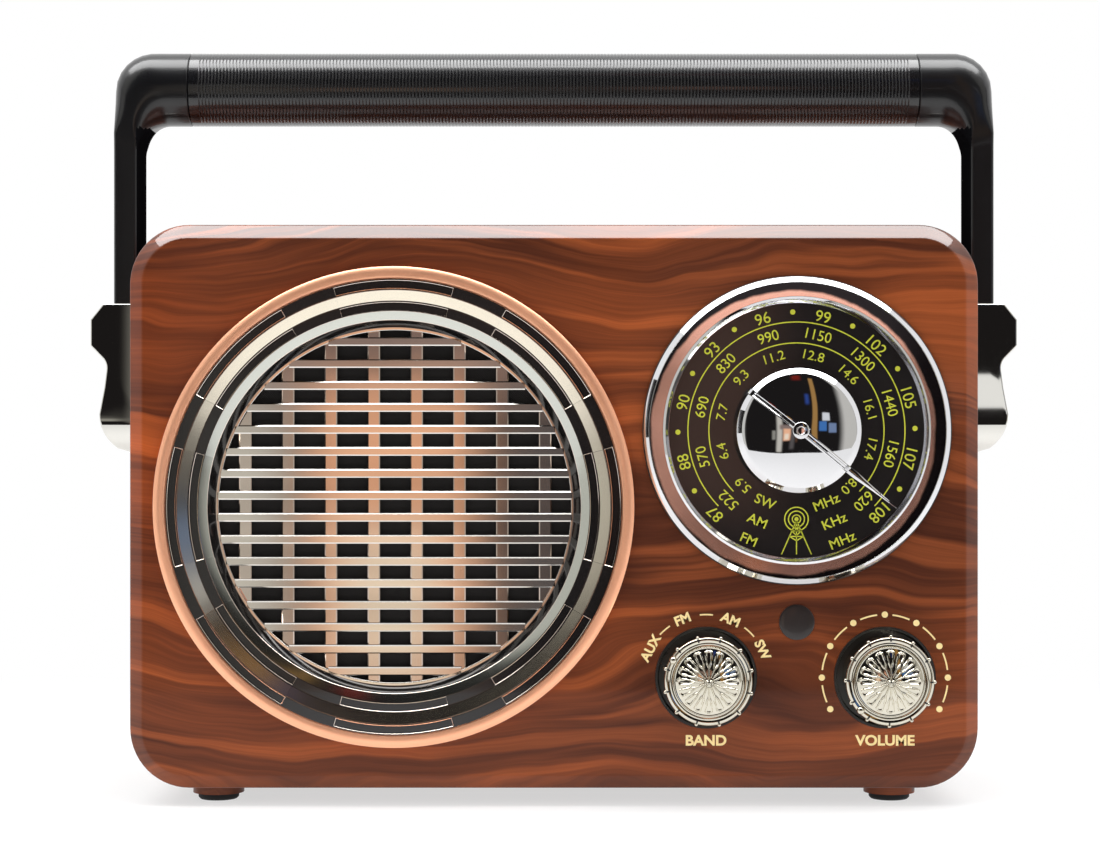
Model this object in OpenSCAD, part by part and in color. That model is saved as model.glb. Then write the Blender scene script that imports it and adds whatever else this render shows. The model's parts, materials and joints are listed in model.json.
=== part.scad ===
// Tabletop radio with a folding carrying handle.
// Millimetres. X runs to the right as seen from the front, Y runs from front to back, Z is up.
// The origin is on the floor, under the middle of the cabinet.

/* [Cabinet] */
// Width of the cabinet
body_w = 256; // [252:1:320]
// Height of the cabinet
body_h = 170; // [165:1:220]
// Depth of the cabinet
body_d = 85; // [82:1:120]
// Wall thickness of both cabinet halves
wall = 3; // [2.4:0.1:4]
// Corner radius seen from the front
corner_r = 18; // [14:0.5:24]
// Width of the bevel round the front face
front_bevel = 4.5; // [2:0.5:6]
// Depth of the rear cabinet half
rear_d = 28.5; // [26:0.5:34]

/* [Feet] */
// Height of the moulded foot pads
pad_h = 3; // [2:0.5:5]
// Radius of the moulded foot pads
pad_r = 7.8; // [7:0.1:10]
// Height of the rubber that shows below a pad
rubber_h = 2; // [1:0.5:4]
// Radius of the rubber feet
rubber_r = 6.2; // [4:0.1:6.6]
// Distance of the feet from the middle, sideways
foot_x = 103; // [80:1:106]

/* [Speaker] */
// Speaker centre to the left of the middle
speaker_offset = 48; // [46:0.5:50]
// Outer radius of the copper trim ring
trim_r = 72; // [70:0.5:73]
// Width of the copper trim ring
trim_w = 3.5; // [2.5:0.1:4.5]
// Height of the copper trim ring above the front face
trim_h = 3; // [2.2:0.1:4]
// Radius of the opening that the grille fills
grille_r = 54.8; // [53:0.1:56]
// Number of bars across the grille
grille_rows = 16; // [10:1:18]
// Height of one bar
row_h = 2.55; // [1.5:0.05:3]
// Number of upright bars behind them
grille_columns = 8; // [5:1:9]
// Width of one upright bar
column_w = 3.75; // [2:0.05:5]
// Thickness of each layer of bars
bar_t = 1.5; // [1:0.1:2]

/* [Dial] */
// Dial centre to the right of the middle
dial_offset = 72.8; // [70:0.1:76]
// Dial centre above the cabinet's underside
dial_up = 107.9; // [104:0.1:112]
// Outer radius of the dial bezel
dial_r = 46.3; // [45:0.1:47]
// Radius of the printed dial plate
plate_r = 38.3; // [36:0.1:38.6]
// Radius of the tuning knob
tuning_r = 18.6; // [16:0.1:20]
// Height of the tuning knob's side wall
tuning_h = 8; // [6:0.1:10]
// Radius of the sphere that the tuning knob's face follows
tuning_crown_r = 42; // [34:1:60]
// Reach of the pointer from the dial's centre
pointer_reach = 37.2; // [30:0.1:37.6]

/* [Small knobs] */
// Band knob to the right of the middle
band_offset = 45.6; // [44:0.1:48]
// Volume knob's distance from the right side
volume_in = 28.8; // [27:0.1:31]
// Small knobs above the cabinet's underside
knob_up = 33.8; // [32:0.1:36]
// Rim radius of the small knobs
knob_r = 13.1; // [12:0.1:13.6]
// Radius of the dark well round a small knob
well_r = 15.3; // [14.8:0.1:16]
// Height of the small knobs above the front face
knob_h = 14; // [12:0.5:16]
// Number of studs round a knob's rim
studs = 12; // [8:1:16]
// Radius of all knob shafts
shaft_r = 3; // [2.5:0.1:3]

/* [Handle] */
// Handle's pivot below the cabinet's top
pivot_down = 31; // [24:1:38]
// Distance from the pivot to the middle of the grip
grip_up = 77.1; // [70:0.1:90]
// Radius of the grip
grip_r = 11.5; // [10:0.1:13]
// Gap between a cabinet side and the handle's arm
arm_gap = 3; // [2.5:0.1:4]
// Thickness of an arm
arm_t = 7.3; // [6:0.1:9]
// Depth of an arm from front to back
arm_d = 18.5; // [15:0.5:22]
// Length of each elbow's round socket
elbow_len = 11.5; // [8:0.5:16]
// Radius of the pivot pins
pin_r = 3; // [2.5:0.1:3.5]
// Reach of a side bracket beyond the cabinet's side
bracket_reach = 17; // [16.5:0.1:20]
// Depth of a side bracket from front to back
bracket_d = 24.5; // [23.5:0.5:30]
// Angle that the handle folds back
fold_max = 95; // [90:1:96]

/* [Antenna] */
// Radius of the outer antenna tube
antenna_r = 3; // [2.6:0.1:3.4]
// Length of the outer antenna tube
antenna_len = 176; // [120:1:190]

/* [Battery compartment] */
// Diameter of one cell
cell_d = 33; // [26:0.5:33.4]
// Length of one cell with its cap
cell_len = 61; // [50:0.5:61.5]

/* [Hidden] */
$fn = 64;
slip = 0.3;          // open gap round loose and moving pieces
run = 0.05;          // radial clearance of a shaft in its bore
seat = 0.1;          // radial clearance of a piece pushed into its hole
screw_r = 1.4;       // thread radius of every small screw
screw_head_r = 3;
screw_head_h = 1.8;
boss_r = 4.5;        // outer radius of every screw boss

base_z = pad_h + rubber_h;
mid_z = base_z + body_h / 2;
top_z = base_z + body_h;
front_y = -body_d / 2;
back_y = body_d / 2;
side_x = body_w / 2;
seam_y = back_y - rear_d;
inner_back_y = back_y - wall;
volume_offset = side_x - volume_in;

speaker_x = -speaker_offset;
dial_z = base_z + dial_up;
knob_z = base_z + knob_up;
pivot_z = top_z - pivot_down;

// Speaker stack, measured from the front face, plus is proud of it
ring_in = trim_r - trim_w;
panel_hole_r = ring_in - 6;
row1_h = trim_h - 1.1;
row2_h = row1_h - 1.3;
lip_r = grille_r - 0.8;
grille_front = -4;
grille_back = grille_front - 2 * bar_t;
cloth_t = 0.8;
stack_back = grille_back - cloth_t;
flange_t = 1.5;
basket_back = stack_back - 22;
basket_floor_t = 2.5;
magnet_r = 31;
magnet_t = 14;
coil_r = 12.5;
cone_r = grille_r - 4.8;
cap_r = coil_r * sqrt(2);
ear_at = panel_hole_r + 7;
slot_angle = 30.5;

// Dial stack
dial_hole_r = dial_r - 2.3;
dial_lip_r = plate_r + 1;
plate_front = -1;
plate_t = 1.5;
plate_hole_r = 8;
backplate_t = 1.5;
backplate_r = dial_hole_r + 1.7;
dial_screw_at = dial_lip_r + 1.6;
knob_lift = plate_front + slip;
tuning_top = knob_lift + tuning_h;
crown_centre = tuning_top - sqrt(tuning_crown_r * tuning_crown_r - tuning_r * tuning_r);
pointer_w = 2;
pointer_t = 0.5;
hub_r = 2.5;
bush_r = 4.4;
pointer_angle = 128.5;   // clockwise from the top

// Small knobs
well_depth = 4;
well_floor_t = 1.5;
well_flange = 1.7;
band_angle = -59;        // indicator stud, clockwise from the top
volume_angle = -134;
stud_r = 0.9;
medallion_r = knob_r - 2.9;

lens_up = 50.4;
lens_r = 5.3;

// Main board on four posts
board_h = -34.4;
board_t = 1.6;
post_x = [dial_offset - 53.8, side_x - 23];
post_z = [dial_z - 46, dial_z + 46];
board_edge = 6.5;
board_back_y = front_y - board_h + board_t;

// Ferrite rod
rod_r = 5;
rod_len = 92;
rod_y = board_back_y + 12;
rod_z = post_z[1] - 12;
rod_mid_x = (post_x[0] + post_x[1]) / 2;

// Case screws near the corners
case_x = side_x - 12;
case_low = base_z + 12;
case_high = top_z - 15;

// Handle
arm_in = side_x + arm_gap;
arm_out = arm_in + arm_t;
grip_z = pivot_z + grip_up;
elbow_r = 12;
inner_elbow_r = 9;
grip_half = arm_out - elbow_r - elbow_len;
grip_wall = 2.1;
spigot_len = 10;
rod_core_r = 2.5;

// Side bracket silhouette, sideways reach and height over the pivot
bracket_top = 8.6;
bracket_bottom = -39.6;

// Antenna notch along the rear top edge
notch = 12;
antenna_x = side_x - 34;
antenna_y = back_y - notch / 2;
notch_end = antenna_x + 6;
antenna_z = top_z - notch / 2;
tube_t = 0.45;
antenna_gap = 0.06;
mast_end = 3.4;
stud_pin_r = 1.5;
eye_front = 4.6;     // the eye's reach to the front and to the back of the antenna's axis
eye_back = 3.2;

// Battery compartment
tub_len = 2 * cell_len + 12;
tub_h = cell_d + 3;
tub_t = 1.6;
tub_x = -25;
tub_z0 = base_z + wall + tub_t + slip;
door_pin_r = 0.9;
door_barrel_r = wall / 2;
door_pivot_z = tub_z0 + door_barrel_r + slip;
door_pivot_y = back_y - wall / 2;
cell_y = inner_back_y - slip - cell_d / 2;
tub_front_y = cell_y - cell_d / 2 - slip;

// Rear sockets and buttons
media_x = side_x - 44;
media_z = mid_z + 8;
media_post = 24;
media_board_t = 1.6;
media_board_y = inner_back_y - 14;
button_pitch = 13;
button_r = 4;
button_travel = 0.8;
button_z = media_z + 22;
usb_w = 13.1;
usb_h = 5.7;
usb_d = 14;
jack_hole_r = 1.8;
jack_x = media_x + 16;
dc_hole_r = 4.2;
dc_x = media_x - 18;

// ---------------------------------------------------------------- helpers

// Local frame on the front face: x and y across the face, z proud of it
module on_front(x, z) { translate([x, front_y, z]) rotate([90, 0, 0]) children(); }

// Local frame on the back face: z proud of it
module on_back(x, z) { translate([x, back_y, z]) rotate([-90, 0, 0]) children(); }

// A child whose x axis points to a clockwise angle from the top
module clockwise(angle) { rotate([0, 0, 90 - angle]) children(); }

module along_x(x0, x1, r) { translate([x0, 0, 0]) rotate([0, 90, 0]) cylinder(h = x1 - x0, r = r); }

module ring(r_in, r_out, low, high) {
  translate([0, 0, low]) difference() {
    cylinder(h = high - low, r = r_out);
    translate([0, 0, -1]) cylinder(h = high - low + 2, r = r_in);
  }
}

module box(low, high) { translate(low) cube(high - low); }

function arc(cx, cy, r, a0, a1, n = 8) =
  [for (i = [0:n]) [cx + r * cos(a0 + (a1 - a0) * i / n), cy + r * sin(a0 + (a1 - a0) * i / n)]];

// Rounded block from y = 0 to y = d, with a bevel on its front edges
module rounded_block(w, h, d, r, c) {
  module section(half) {
    polygon([[0, -half + c], [c, -half], [d, -half], [d, half], [c, half], [0, half - c]]);
  }
  translate([-(w / 2 - r), 0, 0]) rotate([90, 0, 90]) linear_extrude(w - 2 * r) section(h / 2);
  rotate([0, 0, 90]) mirror([0, 1, 0]) translate([0, 0, -(h / 2 - r)])
    linear_extrude(h - 2 * r) section(w / 2);
  for (sx = [-1, 1], sz = [-1, 1])
    translate([sx * (w / 2 - r), 0, sz * (h / 2 - r)]) rotate([-90, 0, 0])
      rotate_extrude() polygon([[0, 0], [r - c, 0], [r, c], [r, d], [0, d]]);
}

module cabinet_outside() {
  translate([0, front_y, mid_z])
    rounded_block(body_w, body_h, body_d, corner_r, front_bevel);
}

module cabinet_inside() {
  inner_bevel = max(0.2, front_bevel - wall * (2 - sqrt(2)));
  translate([0, front_y + wall, mid_z])
    rounded_block(body_w - 2 * wall, body_h - 2 * wall, body_d - 2 * wall,
      corner_r - wall, inner_bevel);
}

module half_space(y0, y1) {
  translate([-body_w, y0, -body_h]) cube([2 * body_w, y1 - y0, 3 * body_h]);
}

module at_case_screws() {
  for (sx = [-1, 1], z = [case_low, case_high]) translate([sx * case_x, 0, z]) children();
}

module along_y(y0, y1, r) { translate([0, y0, 0]) rotate([-90, 0, 0]) cylinder(h = y1 - y0, r = r); }

module at_speaker_ears() {
  for (a = [45:90:315]) rotate([0, 0, a]) translate([ear_at, 0, 0]) children();
}

module at_board_posts() {
  for (x = post_x, z = post_z) on_front(x, z) children();
}

// ---------------------------------------------------------------- cabinet

module foot_pads(y) {
  for (sx = [-1, 1]) translate([sx * foot_x, y, rubber_h]) difference() {
    cylinder(h = pad_h + wall / 2, r = pad_r);
    translate([0, 0, -1]) cylinder(h = 2.5, r = rubber_r);
  }
}

front_foot_y = front_y + 16 + pad_r - 6;
rear_foot_y = back_y - 14.5;

bracket_screw_z = [pivot_z - 34, pivot_z - 22];

module front_cabinet() color("#7a3a20") {
  difference() {
    union() {
      difference() {
        intersection() { cabinet_outside(); half_space(front_y - 1, seam_y); }
        cabinet_inside();
      }
      foot_pads(front_foot_y);
      at_case_screws() along_y(front_y + wall - 1, seam_y, boss_r);
      on_front(speaker_x, mid_z) at_speaker_ears()
        translate([0, 0, stack_back]) cylinder(h = -stack_back - 1, r = boss_r);
      at_board_posts() translate([0, 0, board_h]) cylinder(h = -board_h - 1, r = boss_r - 0.7);
    }
    on_front(speaker_x, mid_z) translate([0, 0, -wall - 1])
      cylinder(h = wall + 2, r = panel_hole_r);
    on_front(dial_offset, dial_z) translate([0, 0, -wall - 1])
      cylinder(h = wall + 2, r = dial_hole_r);
    for (x = [band_offset, volume_offset]) on_front(x, knob_z) translate([0, 0, -wall - 1])
      cylinder(h = wall + 2, r = well_r);
    on_front(dial_offset, base_z + lens_up) translate([0, 0, -wall - 1])
      cylinder(h = wall + 2, r = lens_r - 0.4);
    on_front(speaker_x, mid_z) at_speaker_ears()
      translate([0, 0, stack_back - 1]) cylinder(h = -stack_back - wall + 1, r = screw_r);
    at_board_posts() translate([0, 0, board_h - 1]) cylinder(h = 12, r = screw_r);
    at_case_screws() along_y(seam_y - 14, seam_y + 1, screw_r);
    for (sx = [-1, 1], z = bracket_screw_z)
      translate([sx * (side_x - wall / 2), 0, z]) along_x(-wall, wall, screw_r);
    for (sx = [-1, 1]) translate([sx * (side_x - wall / 2), 0, pivot_z])
      along_x(-wall, wall, pin_r);
  }
}

module vents() {
  for (i = [0:8]) translate([speaker_x - 32 + 8 * i, 0, mid_z + 12])
    box([-1.2, inner_back_y - 1, 0], [1.2, back_y + 1, 34]);
}

module rear_cabinet() color("#7a3a20") {
  difference() {
    union() {
      difference() {
        intersection() { cabinet_outside(); half_space(seam_y, back_y + 1); }
        cabinet_inside();
      }
      foot_pads(rear_foot_y);
      at_case_screws() along_y(seam_y, back_y - wall / 2, boss_r);
      // lining of the antenna notch
      intersection() {
        box([-side_x, back_y - notch - wall, top_z - notch - wall],
          [notch_end + wall, back_y, top_z]);
        cabinet_outside();
      }
      // battery tub
      box([tub_x - tub_len / 2 - tub_t, tub_front_y - tub_t, tub_z0 - tub_t],
        [tub_x + tub_len / 2 + tub_t, inner_back_y + wall / 2, tub_z0 + tub_h + tub_t]);
      // posts that carry the media board
      for (sx = [-1, 1]) translate([media_x + sx * media_post, 0, media_z + 11])
        along_y(media_board_y, inner_back_y + wall / 2, boss_r - 0.7);
    }
    box([-side_x - 1, back_y - notch, top_z - notch], [notch_end, back_y + 1, top_z + 1]);
    box([tub_x - tub_len / 2, tub_front_y, tub_z0],
      [tub_x + tub_len / 2, back_y + 1, tub_z0 + tub_h]);
    // bores of the door's pins
    translate([tub_x, door_pivot_y, door_pivot_z])
      along_x(-tub_len / 2 - 3, tub_len / 2 + 3, door_pin_r + run);
    at_case_screws() along_y(seam_y - 1, back_y + 1, screw_r + 0.3);
    at_case_screws() along_y(back_y - 6, back_y + 1, screw_head_r + slip);
    for (sx = [-1, 1]) translate([media_x + sx * media_post, 0, media_z + 11])
      along_y(media_board_y - 1, media_board_y + 10, screw_r);
    vents();
    for (i = [-1:1]) translate([media_x + i * button_pitch, 0, button_z])
      along_y(inner_back_y - 1, back_y + 1, button_r + seat);
    translate([media_x, 0, media_z])
      box([-usb_w / 2 - 0.4, inner_back_y - 1, -usb_h / 2 - 0.4],
        [usb_w / 2 + 0.4, back_y + 1, usb_h / 2 + 0.4]);
    translate([jack_x, 0, media_z]) along_y(inner_back_y - 1, back_y + 1, 3.5);
    translate([dc_x, 0, media_z]) along_y(inner_back_y - 1, back_y + 1, dc_hole_r + 1.3);
    // recess under the stud of the antenna
    translate([antenna_x, 0, antenna_z]) along_y(back_y - notch - wall - 1, back_y, stud_pin_r);
  }
}

module rubber_feet() color("#202020")
  for (sx = [-1, 1], y = [front_foot_y, rear_foot_y]) translate([sx * foot_x, y, 0])
    rotate_extrude() polygon([[0, 0], [rubber_r - 0.6, 0], [rubber_r, 0.6],
      [rubber_r, rubber_h + 1.5], [0, rubber_h + 1.5]]);

// Screw along +z from its head's underside at z = 0 down to z = -length
module screw(length) {
  difference() {
    union() {
      translate([0, 0, -length]) cylinder(h = length + 0.1, r = screw_r);
      cylinder(h = screw_head_h, r = screw_head_r);
    }
    for (a = [0, 90]) rotate([0, 0, a]) translate([-1.6, -0.35, screw_head_h - 0.9])
      cube([3.2, 0.7, 2]);
  }
}

module case_screws() color("#3a3a3c")
  at_case_screws() translate([0, back_y - 6, 0]) rotate([-90, 0, 0])
    screw(back_y - 6 - seam_y + 12);

module small_screws() color("#b8b8ba") {
  on_front(speaker_x, mid_z) at_speaker_ears()
    translate([0, 0, stack_back - flange_t]) mirror([0, 0, 1]) screw(flange_t + 3);
  at_board_posts() translate([0, 0, board_h - board_t]) mirror([0, 0, 1]) screw(8);
  on_front(dial_offset, dial_z) for (a = [30:120:270]) rotate([0, 0, a])
    translate([dial_screw_at, 0, -wall - backplate_t]) mirror([0, 0, 1]) screw(3.5);
  for (sx = [-1, 1], z = bracket_screw_z) translate([sx * (side_x - wall), 0, z])
    rotate([0, -90 * sx, 0]) screw(wall + 8);
  for (sx = [-1, 1]) translate([media_x + sx * media_post, media_board_y - media_board_t, media_z + 11])
    rotate([90, 0, 0]) screw(8);
}

// ---------------------------------------------------------------- speaker

module speaker_trim_ring() color("#e2a07a") on_front(speaker_x, mid_z)
  rotate_extrude($fn = 128) polygon([[ring_in, 0], [trim_r, 0], [trim_r, trim_h - 0.7],
    [trim_r - 0.7, trim_h], [ring_in + 0.4, trim_h], [ring_in, trim_h - 0.4]]);

module slot_row(r0, r1, floor_h) {
  for (a = [0:45:315]) rotate([0, 0, a - slot_angle / 2])
    rotate_extrude(angle = slot_angle) translate([r0, floor_h]) square([r1 - r0, 3]);
}

module speaker_bezel() color("#8d8d90") on_front(speaker_x, mid_z) difference() {
  rotate_extrude($fn = 128) polygon([
    [ring_in - seat, 0], [ring_in - seat, row1_h], [ring_in - 3.6, row1_h],
    [ring_in - 6.7, row2_h], [ring_in - 9.8, row2_h], [ring_in - 12.4, row2_h - 1.3],
    [lip_r, grille_front + slip], [lip_r, grille_front], [grille_r, grille_front],
    [grille_r, stack_back], [panel_hole_r - 3.5, stack_back], [panel_hole_r - 3.5, -wall],
    [panel_hole_r - seat, -wall], [panel_hole_r - seat, 0]]);
  slot_row(ring_in - 3, ring_in - 0.7, row1_h - 0.9);
  slot_row(ring_in - 9.5, ring_in - 7.2, row2_h - 0.9);
}

module speaker_grille() color("#c9a58f") on_front(speaker_x, mid_z) {
  pitch_z = 2 * grille_r * 0.968 / grille_rows;
  pitch_x = 2 * grille_r * 0.945 / grille_columns;
  ring(grille_r - 1.7, grille_r - seat, grille_back, grille_front);
  intersection() {
    translate([0, 0, grille_back]) cylinder(h = 2 * bar_t, r = grille_r - 1);
    union() {
      for (i = [0:grille_rows - 1])
        translate([0, (i - (grille_rows - 1) / 2) * pitch_z, grille_front - bar_t / 2])
          cube([2 * grille_r, row_h, bar_t], center = true);
      for (i = [0:grille_columns - 1])
        translate([(i - (grille_columns - 1) / 2) * pitch_x, 0, grille_back + bar_t / 2])
          cube([column_w, 2 * grille_r, bar_t], center = true);
    }
  }
}

module grille_cloth() color("#151515") on_front(speaker_x, mid_z)
  translate([0, 0, stack_back]) cylinder(h = cloth_t, r = grille_r - seat);

module speaker_basket() color("#6e7073") on_front(speaker_x, mid_z) difference() {
  union() {
    translate([0, 0, stack_back - flange_t]) cylinder(h = flange_t, r = panel_hole_r - 1);
    at_speaker_ears() translate([0, 0, stack_back - flange_t])
      cylinder(h = flange_t, r = boss_r);
    for (a = [45:90:315]) rotate([0, 0, a]) translate([ear_at - 8, -boss_r, stack_back - flange_t])
      cube([8, 2 * boss_r, flange_t]);
    rotate_extrude() polygon([[cone_r + 3, stack_back - flange_t],
      [magnet_r - 1, basket_back], [0, basket_back], [0, basket_back + basket_floor_t],
      [magnet_r - 2.4, basket_back + basket_floor_t], [cone_r + 1.5, stack_back - flange_t]]);
  }
  translate([0, 0, stack_back - flange_t - 1]) cylinder(h = flange_t + 2, r = cone_r);
  translate([0, 0, basket_back - 1]) cylinder(h = basket_floor_t + 2, r = coil_r + 1.1);
  at_speaker_ears() translate([0, 0, stack_back - 10]) cylinder(h = 20, r = screw_r);
  // windows in the cone-shaped frame
  for (a = [0:60:300]) rotate([0, 0, a]) translate([magnet_r + 1.5, -9, basket_back + 4])
    cube([cone_r, 18, -basket_back + stack_back - flange_t - 6]);
}

neck_h = basket_back + basket_floor_t + 5;

module speaker_cone() color("#26221f") on_front(speaker_x, mid_z) {
  rim = stack_back - flange_t + 0.5;
  rotate_extrude() polygon(concat([[cone_r, rim], [cone_r, rim + 0.6]],
    arc(cone_r - 3.5, rim + 0.6, 1.9, 360, 180, 8),
    [[coil_r + 0.3, neck_h + 0.6], [coil_r + 0.3, neck_h], [cone_r - 6.6, rim - 0.6]],
    arc(cone_r - 3.5, rim + 0.6, 2.5, 195, 345, 8)));
}

module speaker_dust_cap() color("#1c1a19") on_front(speaker_x, mid_z)
  translate([0, 0, neck_h + 0.6]) rotate_extrude() polygon(concat(
    arc(0, -coil_r, cap_r, 45, 90, 8),
    arc(0, -coil_r, cap_r - 0.6, 90, asin(coil_r / (cap_r - 0.6)), 8)));

module speaker_spider() color("#b98f4a") on_front(speaker_x, mid_z)
  ring(coil_r + 0.3, coil_r + 11, neck_h - 2.5, neck_h - 2);

module voice_coil() color("#b5652b") on_front(speaker_x, mid_z)
  ring(coil_r - 0.3, coil_r + 0.3, basket_back - 8, neck_h + 0.6);

module speaker_magnet() color("#55565a") on_front(speaker_x, mid_z) difference() {
  union() {
    translate([0, 0, basket_back - magnet_t]) cylinder(h = magnet_t, r = magnet_r);
    translate([0, 0, basket_back - 1]) cylinder(h = basket_floor_t + 1, r = coil_r - 1.1);
  }
  ring(coil_r - 1.1, coil_r + 1.1, basket_back - 10, basket_back + 4);
}

// ---------------------------------------------------------------- dial

slope_out = dial_r - 1.9;
slope_in = dial_lip_r + 0.9;
slope_low = 0.9;
slope_high = 2.4;
slope_t = 0.3;

module dial_bezel() color("#c8c8cc") on_front(dial_offset, dial_z) difference() {
  rotate_extrude($fn = 128) polygon(concat(
    [[dial_r, 0]], arc(dial_r - 0.95, 2.05, 0.95, 0, 180, 8),
    [[slope_out, slope_high], [slope_in, slope_low], [slope_in, 1.4], [slope_in - 0.3, 1.7],
     [dial_lip_r + 0.2, 1.7], [dial_lip_r, 1.4], [dial_lip_r, 0], [plate_r + seat, plate_front],
     [plate_r + seat, plate_front - plate_t], [plate_r - 1.8, plate_front - plate_t],
     [plate_r - 1.8, -wall], [dial_hole_r - seat, -wall], [dial_hole_r - seat, 0]]));
  for (a = [30:120:270]) rotate([0, 0, a]) translate([dial_screw_at, 0, -wall - 1])
    cylinder(h = 3.2, r = screw_r);
}

module dial_inner_ring() color("#d79a86") on_front(dial_offset, dial_z)
  rotate_extrude($fn = 128) polygon([[slope_in, slope_low], [slope_out, slope_high],
    [slope_out, slope_high + slope_t], [slope_in, slope_low + slope_t]]);

module dial_plate() color("#101010") on_front(dial_offset, dial_z)
  ring(plate_hole_r, plate_r, plate_front - plate_t, plate_front);

module dial_backplate() color("#9a9ca0") on_front(dial_offset, dial_z) difference() {
  ring(bush_r, backplate_r, -wall - backplate_t, -wall);
  for (a = [30:120:270]) rotate([0, 0, a]) translate([dial_screw_at, 0, -10])
    cylinder(h = 20, r = screw_r);
}

module tuning_knob() color("#d8d8dc") on_front(dial_offset, dial_z) {
  crown_half = asin((tuning_r - 0.8) / tuning_crown_r);
  rotate_extrude($fn = 96) polygon(concat(
    [[shaft_r, knob_lift + 1.5], [shaft_r + 3, knob_lift + 1.5], [shaft_r + 3, tuning_top - 4],
     [tuning_r - 2, tuning_top - 4], [tuning_r - 2, knob_lift]],
    [[tuning_r, knob_lift], [tuning_r, tuning_top - 0.9]],
    arc(0, crown_centre, tuning_crown_r, 90 - crown_half, 90, 10),
    [[0, tuning_top - 1.5], [shaft_r, tuning_top - 1.5]]));
}

module dial_pointer() color("#e8e8ea") on_front(dial_offset, dial_z)
  clockwise(pointer_angle) {
    bar_end = tuning_r + 0.6;
    // bar that follows the crown
    intersection() {
      difference() {
        translate([0, 0, crown_centre]) sphere(r = tuning_crown_r + pointer_t, $fn = 128);
        translate([0, 0, crown_centre]) sphere(r = tuning_crown_r, $fn = 128);
      }
      translate([-bar_end, -pointer_w / 2, tuning_top - 2])
        cube([2 * bar_end, pointer_w, tuning_crown_r]);
    }
    // needle over the scale
    translate([0, 0, tuning_top - 0.4]) linear_extrude(pointer_t)
      polygon([[tuning_r + 0.1, -1.1], [bar_end + 2, -1.1], [pointer_reach, -0.2],
        [pointer_reach, 0.2], [bar_end + 2, 1.1], [tuning_r + 0.1, 1.1]]);
    crown_top = crown_centre + tuning_crown_r;
    ring(0.9, hub_r, crown_top, crown_top + 1);
    translate([0, 0, crown_top]) cylinder(h = 0.75, r = 1);
  }

// Shaft that turns in a bush: from the knob's inside down into the control
module shaft(top, bottom) {
  translate([0, 0, bottom]) cylinder(h = top - bottom, r = shaft_r);
}

// Rotary control: round case behind the panel and a bush through it
module control(case_r, case_h, face, bush_top) {
  difference() {
    union() {
      translate([0, 0, face - case_h]) cylinder(h = case_h, r = case_r);
      translate([0, 0, face - 1]) cylinder(h = bush_top - face + 1, r = bush_r);
      for (x = [-5, 0, 5]) translate([x - 0.8, -case_r - 4, face - case_h / 2])
        cube([1.6, 6, 0.8]);
    }
    translate([0, 0, face - case_h + 2]) cylinder(h = 60, r = shaft_r + run);
  }
}

module nut(face) {
  translate([0, 0, face]) difference() {
    cylinder(h = 1.8, r = bush_r + 2.6, $fn = 6);
    translate([0, 0, -1]) cylinder(h = 4, r = bush_r);
  }
}

tuning_face = -wall - backplate_t;
control_face = -well_depth - well_floor_t;
tuning_case_h = 13;
small_case_h = 12;

module tuning_shaft() color("#c0b070") on_front(dial_offset, dial_z)
  shaft(tuning_top - 1.5, tuning_face - tuning_case_h + 2 + slip);

module tuning_pot() color("#6a7a55") on_front(dial_offset, dial_z)
  control(12, tuning_case_h, tuning_face, -wall + 3.3);

module knob_wells() color("#0e0e0e")
  for (x = [band_offset, volume_offset]) on_front(x, knob_z)
    rotate_extrude() polygon([[bush_r, control_face], [well_r + well_flange, control_face],
      [well_r + well_flange, -wall], [well_r - seat, -wall], [well_r - seat, 0],
      [well_r - 0.9, 0], [well_r - 0.9, -well_depth], [bush_r, -well_depth]]);

module small_knob(angle) {
  top = knob_h - 2.6;
  crown = 1.9;
  crown_r = (medallion_r * medallion_r + crown * crown) / (2 * crown);
  crown_half = asin(medallion_r / crown_r);
  clockwise(angle) difference() {
    union() {
      rotate_extrude($fn = 96) polygon(concat(
        [[shaft_r, -well_depth + 3], [shaft_r + 2.2, -well_depth + 3],
         [shaft_r + 2.2, top - 3], [knob_r - 2.4, top - 3], [knob_r - 2.4, -well_depth + slip],
         [knob_r - 0.7, -well_depth + slip], [knob_r - 0.7, top - 2]],
        arc(knob_r - 0.9, top - 0.9, 0.9, -30, 90, 6),
        [[medallion_r + 0.9, top], [medallion_r + 0.9, top - 0.8], [medallion_r + 0.2, top - 0.8],
         [medallion_r, top + 0.2]],
        arc(0, top + 0.2 + crown - crown_r, crown_r, 90 - crown_half, 90, 8),
        [[0, top - 1.2], [shaft_r, top - 1.2]]));
      for (i = [0:studs - 1]) rotate([0, 0, (i + 0.5) * 360 / studs])
        translate([knob_r - 0.2, 0, top - 0.3]) sphere(r = stud_r, $fn = 24);
      translate([knob_r - 0.9, 0, top]) sphere(r = 1.2, $fn = 24);
    }
    for (i = [0:studs - 1]) rotate([0, 0, (i + 0.5) * 360 / studs])
      translate([medallion_r + 1.1, -0.25, top - 0.5]) cube([1.2, 0.5, 1]);
  }
}

module band_knob() color("#c4c4c8") on_front(band_offset, knob_z) small_knob(band_angle);

module volume_knob() color("#c4c4c8") on_front(volume_offset, knob_z)
  small_knob(volume_angle);

module small_shaft(x) {
  on_front(x, knob_z) shaft(knob_h - 3.8, control_face - small_case_h + 2 + slip);
}

module band_shaft() color("#c0b070") small_shaft(band_offset);

module volume_shaft() color("#c0b070") small_shaft(volume_offset);

module band_switch() color("#7c5a34") on_front(band_offset, knob_z) union() {
  control(13, small_case_h, control_face, -well_depth + 2.6);
}

module volume_pot() color("#8a8c90") on_front(volume_offset, knob_z)
  control(9, small_case_h, control_face, -well_depth + 2.6);

module shaft_nuts() color("#b8b8ba") {
  for (x = [band_offset, volume_offset]) on_front(x, knob_z) nut(-well_depth);
  on_front(dial_offset, dial_z) nut(-wall);
}

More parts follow.
